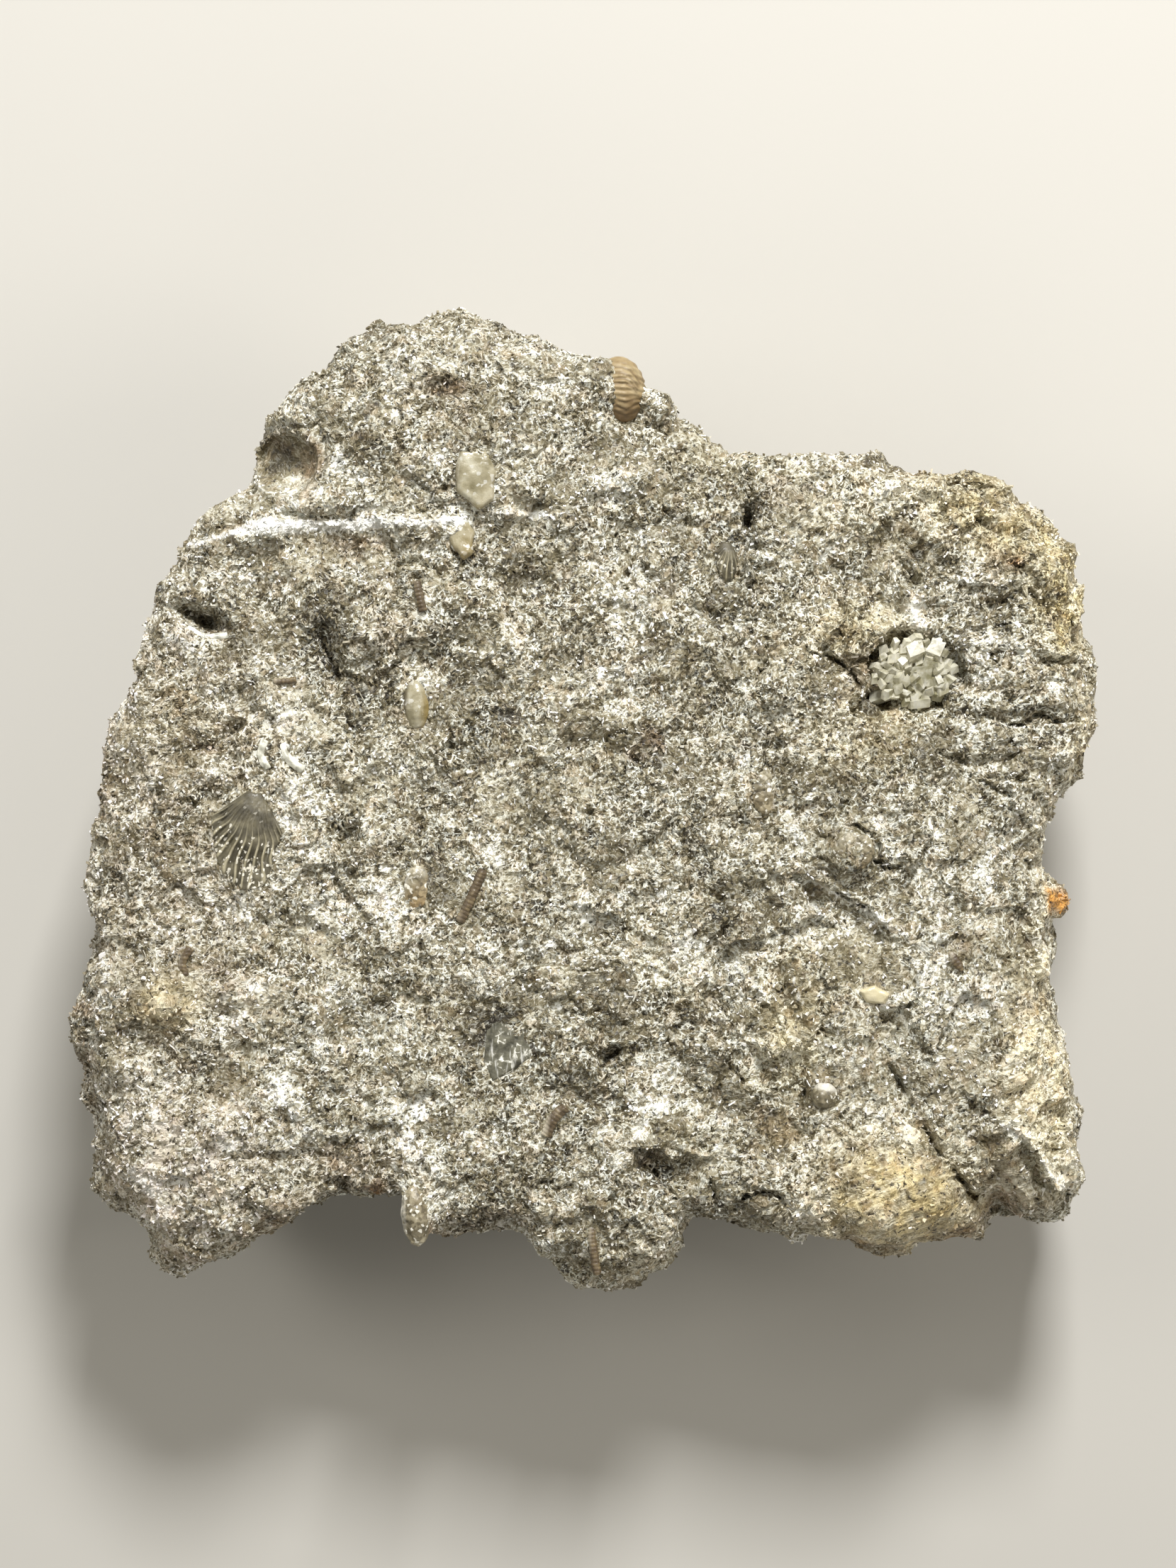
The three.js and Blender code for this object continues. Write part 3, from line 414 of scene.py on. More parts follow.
def densify(piece, longest, starts):
    """Splits the faces above a height until no edge there is longer than asked."""
    for _ in range(2):
        dense = bmesh.new()
        dense.from_mesh(piece.data)
        edges = [e for e in dense.edges
                 if min(v.co.z for v in e.verts) > starts * MM and e.calc_length() > longest * MM
                 and max(f.normal.z for f in e.link_faces) > 0.35]
        if edges:
            bmesh.ops.subdivide_edges(dense, edges=edges, cuts=1, use_grid_fill=True)
        dense.to_mesh(piece.data)
        dense.free()


# Rock lumps that bury the left flank and the lower right corner of the trilobite: x, y, z, half sizes, turn
BURYING_LUMPS = [
    (0.25, 35.6, 24.7, 1.8, 2.7, 1.6, 3), (1.9, 33, 24.6, 1.2, 0.8, 1.3, 32),
    (5.3, 34.1, 23.4, 0.95, 1.5, 1.6, -28),
]


def seats(nodes, spread, tuck):
    """The rock that closes round these fossils: their own shapes, made wider by spread and lower by tuck."""
    held = bare_copy("seats", nodes)
    points = places(held.data)
    out = normals(held.data)
    points[:, :2] += out[:, :2] * spread
    points[:, 2] -= tuck * np.maximum(out[:, 2], 0)
    move_to(held.data, points)
    return held


fossils = [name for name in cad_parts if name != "limestone_matrix"]
fossil_skins = bare_copy("fossil_skins", fossils)
fossil_tree = BVHTree.FromObject(fossil_skins, bpy.context.evaluated_depsgraph_get())
bpy.data.objects.remove(fossil_skins)
level = [name for name in fossils if name not in ("trilobite_tail", "calcite_crust")]
SEATS = [
    (level, SEAT_SPREAD, SEAT_TUCK), (["trilobite_tail"], -SEAT_TUCK, SEAT_TUCK),
    (["calcite_crust"], HOLLOW_SPREAD, HOLLOW_TUCK),
]
block = bare_copy("limestone_block", ["limestone_matrix"])
joined = bmesh.new()
joined.from_mesh(block.data)
for nodes, spread, tuck in SEATS:
    held = seats(nodes, spread, tuck)
    joined.from_mesh(held.data)
    bpy.data.objects.remove(held)
for x, y, z, half_length, half_width, half_height, turn in BURYING_LUMPS:
    place = Matrix.Translation(Vector((x, y, z)) * MM) @ Matrix.Rotation(math.radians(turn), 4, "Z")
    place = place @ Matrix.Diagonal((half_length * MM, half_width * MM, half_height * MM, 1))
    bmesh.ops.create_cube(joined, size=2, matrix=place)
joined.to_mesh(block.data)
joined.free()
even_skin(block, WALL_GRID, 5)
densify(block, FACE_GRID * 1.25, FACE_STARTS)

# The rock's relief, from its named breaks down to single grains. It is lower where the face broke smooth,
# near a fossil, on the mound and in the cup.
points = places(block.data)
up = normals(block.data)
faces_up = fade(up[:, 2], 0.15, 0.55) * fade(points[:, 2], FACE_STARTS, FACE_FULL)
points[:, 2] += faces_up * carve_face(points)
smoother = share_of(SMOOTHER, points) * faces_up
free = clear_of_fossils(points)
out_of_cup = 1 - faces_up * fade(cup_distance(points), 1.35, 1.2)
off_mound = 1 - spot(points, *MOUND)
rough = GRAIN_RELIEF * facets(points, GRAIN, 11) + SMALL_GRAIN_RELIEF * facets(points, SMALL_GRAIN, 23)
rough *= (1 - 0.45 * smoother) * (0.6 + 0.4 * free) * (0.25 + 0.75 * out_of_cup)
broad = PATCH_RELIEF * facets(bent(points), PATCH, 91) * (1 - 0.45 * smoother) * (0.4 + 0.6 * off_mound)
broad += LUMP_RELIEF * (swell(points, SMALL_LUMP, 5) + 1.2 * swell(points, LUMP, 6)) * (1 - 0.5 * smoother)
broad += SCALLOP_RELIEF * smoother * off_mound * facets(bent(points), SCALLOP, 83)
broad += faces_up * off_mound * broken_bedding(points)
rough += broad * free * (0.15 + 0.85 * out_of_cup) - SKIN_SINKS
points += up * (rough * fade(points[:, 2], 0, LEVEL_BELOW))[:, None]
points[:, 2] = np.maximum(points[:, 2], FLOOR_Z / MM)
move_to(block.data, points)


def linear(code):
    """Linear colour of an sRGB hex code."""
    shares = [int(code[i:i + 2], 16) / 255 for i in (1, 3, 5)]
    return [s / 12.92 if s <= 0.04045 else ((s + 0.055) / 1.055) ** 2.4 for s in shares] + [1.0]


def add(tree, kind, settings, sockets, output=0):
    """Adds a node with its settings, links or sets its sockets, and gives one output, or all with None.
    Stops are a ramp's places and colours."""
    node = tree.nodes.new("ShaderNode" + kind)
    for name, value in settings.items():
        if name == "stops":
            ramp = node.color_ramp.elements
            while len(ramp) < len(value):
                ramp.new(0.5)
            for stop, (place, code) in zip(ramp, value):
                stop.position = place
                stop.color = linear(code)
        else:
            setattr(node, name, value)
    for name, value in sockets.items():
        if isinstance(value, bpy.types.NodeSocket):
            tree.links.new(value, node.inputs[name])
        else:
            node.inputs[name].default_value = value
    return node.outputs if output is None else node.outputs[output]


def new_material(name):
    """An empty node material, with its tree, its surface socket and places on the piece in millimetres."""
    material = bpy.data.materials.new(name)
    material.use_nodes = True
    tree = material.node_tree
    tree.nodes.clear()
    output = tree.nodes.new("ShaderNodeOutputMaterial")
    place = add(tree, "TexCoord", {}, {}, "Object")
    mm = add(tree, "VectorMath", {"operation": "SCALE"}, {"Vector": place, "Scale": 1 / MM})
    return material, tree, output.inputs["Surface"], mm


def laid_over(tree, colour, layer, code, strength=1.0, blend="MIX"):
    """The colour with another one over it, as far as a painted layer of the mesh says."""
    amount = add(tree, "Attribute", {"attribute_name": layer}, {}, "Fac")
    share = add(tree, "Math", {"operation": "MULTIPLY"}, {0: amount, 1: strength})
    settings = {"data_type": "RGBA", "blend_type": blend}
    return add(tree, "Mix", settings, {0: share, 6: colour, 7: linear(code)}, 2)


def marked(tree, colour, pattern, starts, ends, share, code):
    """The colour with another one over it: none where a pattern is at starts, up to a share of it at ends."""
    limits = {"Value": pattern, "From Min": starts, "From Max": ends, "To Max": share}
    amount = add(tree, "MapRange", {}, limits)
    return add(tree, "Mix", {"data_type": "RGBA"}, {0: amount, 6: colour, 7: linear(code)}, 2)


# Coloured places of the face, by colour layer, stains together with painted shade and painted highlights:
# strength, x, y, half length, half width, turn in degrees
STAINS_SHADE_AND_HIGHLIGHTS = {
    # White: paler rock and white spar, and a painted highlight on the lit lower inside of the cup-shaped
    # mould
    "white": [
        (0.34, 31, -23, 16, 15, 0), (0.24, -34, -14, 14, 30, 0), (0.3, -23, -27, 6, 5, 0),
        (0.85, -36, -32, 8.5, 8.5, 0), (0.5, 38.5, -28.5, 4, 5, 0), (0.6, 36.8, -32.8, 1.5, 2.6, 40),
        (0.2, 36, 17, 8, 5, 10), (0.08, -10, 34, 10, 5, 0), (0.45, 22.4, -22.8, 3.6, 3.8, 0),
        (0.4, -36.3, -16.6, 2, 1.6, 0), (0.5, -20.6, -10.9, 3.4, 2.4, 10), (0.5, -14.6, -11, 1.2, 0.9, 0),
        (0.9, -25.7, -24.6, 1.9, 1.7, 0), (0.7, -36.1, -17.1, 1.9, 1.7, 0),
        (0.5, -30.7, -20.8, 2.3, 2.2, 0), (0.7, -21, 27.8, 2.4, 1.8, -20), (0.9, -25.4, 27.8, 1.7, 1, 15),
        (0.35, 40.4, -21, 3.6, 9.5, 0), (1.6, 41.7, -8.6, 1.1, 1.1, 0), (0.5, 17.8, -3.6, 0.8, 3.2, -15),
        (0.45, 23, -9, 5, 1, -28), (0.4, -31, 3.6, 3, 2, 0), (0.4, -24, -17, 4, 2, 0),
        (0.9, -21.6, 29.6, 0.7, 0.45, 30), (0.9, -19.9, 27.4, 0.9, 0.6, -40),
        (0.7, -12.6, 29.8, 0.9, 1.4, 0), (0.9, -34.3, 21.2, 0.4, 0.35, 0),
        (0.6, -27.2, 27.3, 1.4, 0.8, -10), (0.7, 28.4, 16.6, 1.1, 1.6, 30), (0.5, 18.6, 16.6, 0.9, 1.2, 0),
        (0.7, -35.2, -28.6, 0.5, 1.7, -8), (0.5, 4.7, -27.8, 1.6, 0.5, 70), (0.5, -4, 38.6, 1.6, 0.8, 0),
        (0.5, -9, -29.6, 3, 1.2, 15), (0.45, 14.5, -29.8, 2.4, 1, -30), (0.5, 5.5, -24, 3, 2.4, 30),
        (0.4, 42.8, 8.3, 1.4, 3, 0), (0.4, 2, 27.3, 3, 2, 10), (0.35, 36, -25, 8, 6, -40),
        (0.4, -23.6, 1.6, 1.6, 3, 10), (0.35, 4, 18, 4, 3, 0), (0.35, -27, 20, 4, 1.4, 0),
        (0.35, -37, -6, 2.4, 3, 0), (0.4, 0.6, 8.6, 3, 2, 0), (0.4, 20.6, 9.6, 1.4, 1.8, 30),
        (0.4, 33, 6.4, 2, 0.8, 0), (0.4, 33.6, -6, 3, 1.4, -20),
    ],
    "cream": [
        (1.3, -36.1, -17, 2.5, 2.1, 0), (0.8, -31.5, -33.4, 1.6, 1.4, 0), (0.5, -36.5, -29.5, 1.8, 1.8, 0),
        (0.6, 23, 15.6, 3.4, 1.6, 0), (0.6, 21, 15.8, 1.5, 1.2, 0), (0.5, 24.5, 26, 6, 4, 0),
        (0.5, 8, -27.8, 3, 1.8, 0), (0.6, 16.4, -21, 3.4, 3.6, 0), (0.4, 12, 30, 6, 3, 0),
        (0.6, 40, -21, 4, 10, 0), (0.5, -34, 8, 3, 3, 0), (0.4, 22, -14, 5, 3, -30),
        (0.4, 7, -14, 3, 4, 20),
    ],
    "yellow": [
        (0.36, -36.2, -17.3, 2.5, 2.2, 0), (0.4, -8, -40.6, 8, 2, -10), (0.5, 40, -22, 4, 10, 0),
        (0.5, 16.4, -28.1, 1.6, 1.4, 0), (0.4, 17.5, -18, 2.4, 5, 0), (1, 41.6, 20, 3.4, 7.5, 8),
        (0.8, 36, 24.4, 7, 3.4, -25), (0.7, 33, 28.4, 5, 1, 0), (0.6, 41.6, -16, 2, 14, 4),
        (0.6, 43, 4.5, 1.5, 4, 0), (0.5, 40.4, -8, 1.5, 2, 0), (0.4, 24, 6, 5, 3, 20),
        (0.4, 22, 14, 5, 3, 10),
    ],
    "olive": [(1, 27.2, -34.6, 7.8, 5.8, -22), (0.6, 25.8, -30.6, 2.4, 1.6, 0), (0.4, 5, -40, 3.4, 3, 0)],
    # Brown: iron stains, and painted shade on the cup's upper and right inside and along the lower and left
    # edges of the face
    "brown": [
        (0.25, -37, -2, 10, 22, 0), (0.4, -36, -32, 9, 9, 0), (0.6, 32.4, -37.4, 3.4, 1.3, 30),
        (0.6, 23.6, -38.8, 3.6, 1.1, -20), (0.3, 36.8, -32.8, 1.5, 2.6, 40),
        (0.5, -36.5, -39.5, 5, 1.8, -10), (0.55, -27.5, -35.6, 5, 1.2, 28),
        (0.55, -20.8, -30.8, 3.2, 1.8, -10), (0.8, -11.6, 35.4, 2.2, 0.8, -10),
        (0.6, -10.4, 33.6, 1, 1.6, 30), (0.6, -19.3, 31.4, 0.8, 0.7, 0), (0.6, -19.6, 22, 2.6, 0.8, 5),
        (0.7, 5.4, 5.3, 1, 0.8, 0), (0.6, 4.2, 4.2, 0.8, 0.7, 0), (0.8, -19.3, -32.6, 2.2, 0.8, -12),
        (0.9, 36, -35.4, 1.4, 1.8, 0), (0.7, -43.6, -18, 1.6, 0.9, 0), (0.6, -37, -41.4, 3.4, 1.2, 0),
        (0.5, -43.6, -24, 0.9, 6, 0), (0.5, -41.4, 3, 0.9, 8, 0), (0.5, -31, -14.6, 2.6, 1.6, 0),
        (0.6, 28.6, 28.6, 1.8, 0.7, 0), (0.5, 4.3, -42.6, 1.2, 0.7, 0), (0.7, -23.7, 29.4, 0.7, 2.4, 0),
        (0.6, -12.6, -37.2, 4.2, 0.9, 0), (0.45, -8, -35.6, 3.4, 1.2, 0), (0.5, -25.6, -35.4, 4, 1, -35),
        (0.45, 6.6, 18.4, 1.2, 0.8, 0), (0.4, 16.5, 26.8, 2, 1.4, 0), (0.6, 35.8, 21, 1.6, 1, 0),
        (0.6, 5.5, -30.4, 1.6, 0.6, 0), (0.5, 31.9, -12.4, 1.6, 1, 40), (0.6, -33, 5.2, 2.6, 0.5, 12),
        (0.5, 16, -27.6, 2.2, 1.2, -40), (0.4, 38.5, -17.4, 2.4, 1, 0), (0.6, -26.6, 31.4, 1.8, 0.8, -10),
        (0.5, 24, 11.6, 2.6, 1, 20), (0.4, -16.4, 14.6, 2, 1.4, 0),
    ],
    "orange": [
        (3, 41.7, -8.6, 1.1, 1.1, 0), (0.8, 36.8, -36.4, 1.2, 0.7, 0), (0.7, 37, 20.9, 0.6, 0.4, 0),
        (0.7, -18.4, -33.2, 1, 0.4, -20), (0.5, 42, -6.8, 0.7, 0.5, 0), (0.4, 5.6, 5, 0.6, 0.5, 0),
    ],
    # Dark: painted shade in pits, slits, cracks, the cup and the crystal hollow, under ledges and beside the
    # cone, and darker patches of rock
    "dark": [
        (0.25, 22.4, -22.8, 3.8, 4.2, 0), (0.42, -26, 29.4, 2.3, 2.1, 0), (0.45, 34.3, -12.6, 3, 3, 0),
        (0.5, 13.6, -24.5, 3, 2, -30), (0.4, 14.8, -35.3, 1.7, 1.7, 0), (0.5, 34.6, -29.4, 1.2, 2.6, 40),
        (0.45, 15.6, -0.4, 0.9, 2, -20), (0.6, -22.6, 13.2, 1.8, 2.6, 20),
        (1.3, -32.7, 15.9, 2.1, 0.7, -18), (0.6, -26.2, 31.1, 2, 0.6, -10), (0.8, 24.6, 8.8, 1.6, 0.8, 5),
        (0.85, -6.6, -21, 2.8, 3.2, -25), (0.7, 13.5, 24.2, 0.7, 1.7, -12), (0.6, 11.9, 20.9, 1.4, 2.2, 0),
        (0.3, 35.6, 16.4, 6, 1.2, 2), (0.5, 28.2, 22, 1.2, 1.4, 0), (0.6, -18.6, -17.2, 0.9, 1.2, 30),
        (0.4, 20.4, 8.4, 2.2, 2.2, 0), (0.5, 26.9, -8, 1, 2, 0), (0.6, 7.4, -31.6, 2.6, 1, -10),
        (0.5, 13, -26, 2.4, 2.4, -30), (0.5, 9, -17, 2, 1.2, 0), (0.5, 1, -20.6, 3.4, 2.4, 0),
        (0.4, 40, -34.6, 2.6, 1, -20), (0.6, 11.4, -19.6, 0.8, 2.4, 25), (0.4, -15, 23, 1.2, 0.6, 0),
        (0.3, -16, 36, 8, 2, 0), (0.4, -17, 31, 5, 3, 0), (0.4, -3, -23, 6, 4, 0),
        (0.4, 9.6, 12, 2.6, 6, 0), (0.35, 12.4, -6, 3, 5, 0), (0.3, -10, 9, 6, 4, 0),
        (0.35, -30, -12, 4, 3, 0),
    ],
}
# White calcite veins, and a painted highlight on the lit lower rim of the cup: strength, half width, path
VEINS_AND_HIGHLIGHT = [
    (0.85, 0.42, [(-34.5, 22.4), (-32.3, 22.9), (-30.1, 23.5)]),
    (1.0, 0.66, [(-30.1, 23.5), (-26.9, 23.7), (-23.4, 23.6), (-20.4, 23.8), (-17.6, 24.2)]),
    (0.75, 0.5, [(-17.6, 24.2), (-13.6, 24.2), (-10.7, 24.3)]),
    (0.6, 0.36, [(-10.7, 24.3), (-8.8, 24.7), (-6.7, 24.9), (-1.8, 25)]),
    (0.9, 0.18, [(17.3, -14.5), (17.7, -15.8), (18.5, -17.5)]),
    (0.8, 0.16, [(17.4, -1.7), (17.9, -3), (18.5, -4)]),
    (0.7, 0.16, [(21.7, -17.7), (20.4, -18.6), (19.8, -19.8), (19.7, -21.3)]),
    (0.8, 0.2, [(12.6, 23.9), (13.4, 22.6), (14.2, 21.4), (14.4, 20.2)]),
    (0.8, 0.2, [(19.2, -6.5), (21.9, -8), (23.6, -8.9), (25.4, -10.3), (27.3, -11.5)]),
    (0.8, 0.22, [(35.4, -27.6), (37.6, -29.4), (39.7, -31.6), (42.1, -34)]),
    (0.6, 0.12, [(-0.2, -28.2), (-0.9, -29.4), (-1.4, -31), (-1, -32.4)]),
    (0.7, 0.14, [(-16.5, -30.4), (-16.6, -31.6), (-16.2, -32.6)]),
    (0.5, 0.14, [(-4.4, -27), (-5.4, -28.2), (-5.2, -29.4)]),
    # Painted highlight: the lit lower inside rim of the cup-shaped mould
    (0.7, 0.2, [(-28.6, 27.8), (-28, 26.9), (-26.6, 26.4), (-25.2, 26.6)]),
]
PAINT_START = 15
PAINT_FULL = 20
VEIN_BEND = 0.4


def paint_stains_shade_and_highlights(mesh, points):
    """Writes how much of each colour layer, painted shade and painted highlights among them, the mesh has at
    these places, one for each of its points.
    """
    ragged = 0.8 + 0.5 * swell(points, 0.9, 31) + 0.35 * swell(points, 0.4, 37)
    wandering = bent(points)
    below = fade(points[:, 2], PAINT_START, PAINT_FULL)
    for layer, ovals in STAINS_SHADE_AND_HIGHLIGHTS.items():
        amount = np.zeros(len(points))
        for strength, x, y, half_length, half_width, turn in ovals:
            amount = np.maximum(amount, strength * spot(wandering, x, y, half_length, half_width, turn))
        paint(mesh, layer, amount * ragged * below)
    paint(mesh, "calm", share_of(CALM, wandering) * below)
    paint(mesh, "fibrous", share_of(FIBROUS, wandering) * below)
    vein = np.zeros(len(points))
    by_vein = bent(points, VEIN_BEND)
    for strength, half_width, path in VEINS_AND_HIGHLIGHT:
        distance, _ = path_distance(by_vein, path)
        vein = np.maximum(vein, strength * np.exp(-((distance / half_width) ** 4)))
    paint(mesh, "vein", vein * (0.9 + 0.25 * swell(points, 0.5, 41)) * below)


# Clear grains look grey to olive because light sinks into them, and cleaved faces are the whitest
ROCK_TONES = [
    (0.0, "#2D2619"), (0.2, "#5B523A"), (0.42, "#857C63"),
    (0.6, "#ACA48F"), (0.76, "#D8D5C8"), (0.9, "#FFFFFF"),
]
# How far each painted layer moves the rock along its tones; dark darkens it as painted shade, and white and
# the veins lighten it, partly as painted highlight
TONE_SHIFTS = {"white": 0.42, "cream": 0.16, "yellow": 0.1, "olive": 0.26, "dark": -0.32, "vein": 0.34}
# What each stain, and brown as partly painted shade, takes from the light that comes back, and how strongly
STAIN_AND_SHADE_COLOURS = {
    "yellow": ("#F1DFA8", 0.85), "olive": ("#DBC898", 0.95), "cream": ("#F8F0D6", 0.6),
    "brown": ("#B39068", 0.85), "orange": ("#E2AC62", 1.0),
}


def shifted(tree, tone):
    """The rock's tone, paler where the face is whitened and where a highlight is painted, and darker where
    shade is painted and where the rock is darker.
    """
    for layer, shift in TONE_SHIFTS.items():
        amount = add(tree, "Attribute", {"attribute_name": layer}, {}, "Fac")
        tone = add(tree, "Math", {"operation": "MULTIPLY_ADD"}, {0: amount, 1: shift, 2: tone})
    return tone


def stained_shaded_and_highlighted(tree, mm, colour):
    """The rock's colour with the stained places, the painted shade in brown, and the veins and painted
    highlight of the face laid over it.
    """
    for layer, (code, strength) in STAIN_AND_SHADE_COLOURS.items():
        colour = laid_over(tree, colour, layer, code, strength, "MULTIPLY")
    vein = add(tree, "Attribute", {"attribute_name": "vein"}, {}, "Fac")
    ragged = add(tree, "TexNoise", {}, {"Vector": mm, "Scale": 1 / 0.45, "Detail": 2.0})
    vein = add(tree, "Math", {"operation": "MULTIPLY_ADD"}, {0: vein, 1: 1.5, 2: ragged})
    return marked(tree, colour, vein, 1.15, 1.65, 0.58, "#FFFFFA")


# Sizes in the rock's pattern: its grains, the chips that they break into and crumbs, its patches and broad
# clouds, its clasts, a streak of cleavage and one of fibrous spar
CELL_SIZES = (0.85, 0.4, 0.22)
CELL_WANDER = 0.8
PATCH_SIZES = (2.2, 6.0)
CLAST_SIZE = 3.0
CLAST_WANDER = 3.2
STREAK_SIZE = (0.13, 0.7, 0.4)
FIBRE_SIZE = (2.6, 0.2)
FIBRE_TURN = math.radians(22)
FIBRE_SHIFT = 0.65
# What grain, chip, crumb, streak, patch, cloud and clast each add to the tone, and where it starts
TONE_SHARES = (0.3, 0.3, 0.2, 1.06, 0.68, 0.78, 0.24)
TONE_START = -1.31
# Tone of a smooth, calm place, and how lively the pattern still is there
CALM_TONE = 0.4
CALM_LEAST = 0.25
GRAIN_HUES = [(0.0, "#E0C99F"), (0.2, "#FDFEF4"), (0.84, "#F6F6E9"), (1.0, "#E6D0AC")]
CALCITE_IOR = 1.6


def cleavage_streaks(tree, mm, grain):
    """Streaks of cleavage, which run another way in each grain."""
    own_turn = add(tree, "VectorMath", {"operation": "SCALE"}, {0: grain, "Scale": 2 * math.pi})
    along = add(tree, "VectorRotate", {"rotation_type": "EULER_XYZ"}, {"Vector": mm, "Rotation": own_turn})
    density = tuple(1 / size for size in STREAK_SIZE)
    along = add(tree, "VectorMath", {"operation": "MULTIPLY"}, {0: along, 1: density})
    return add(tree, "TexNoise", {}, {"Vector": along, "Scale": 1.0, "Detail": 2.0})


def fibre_streaks(tree, mm):
    """Long streaks of fibrous spar, lighter and darker, that all run one way."""
    turned_mm = add(tree, "Mapping", {}, {"Vector": mm, "Rotation": (0, 0, -FIBRE_TURN)})
    density = (1 / FIBRE_SIZE[0], 1 / FIBRE_SIZE[1], 1)
    fibre = add(tree, "VectorMath", {"operation": "MULTIPLY"}, {0: turned_mm, 1: density})
    fibre = add(tree, "TexNoise", {}, {"Vector": fibre, "Scale": 1.0, "Detail": 2.0})
    return add(tree, "MapRange", {"clamp": False}, {
        "Value": fibre, "To Min": -FIBRE_SHIFT, "To Max": FIBRE_SHIFT})


def bright_edges(tree, mm, shift, streak):
    """Bright broken edges between grains, which come and go, and the brightest of the streaks."""
    edge = add(tree, "TexVoronoi", {"feature": "DISTANCE_TO_EDGE"}, {"Vector": shift, "Scale": 1 / 0.6})
    edge = add(tree, "MapRange", {}, {"Value": edge, "From Min": 0.145, "From Max": 0.04})
    broken = add(tree, "TexNoise", {}, {"Vector": mm, "Scale": 1 / 0.75, "Detail": 2.0})
    broken = add(tree, "MapRange", {}, {"Value": broken, "From Min": 0.44, "From Max": 0.56})
    edge = add(tree, "Math", {"operation": "MULTIPLY"}, {0: edge, 1: broken})
    bright = add(tree, "MapRange", {}, {
        "Value": streak, "From Min": 0.595, "From Max": 0.655, "To Max": 0.95})
    return add(tree, "Math", {"operation": "MAXIMUM"}, {0: edge, 1: bright})


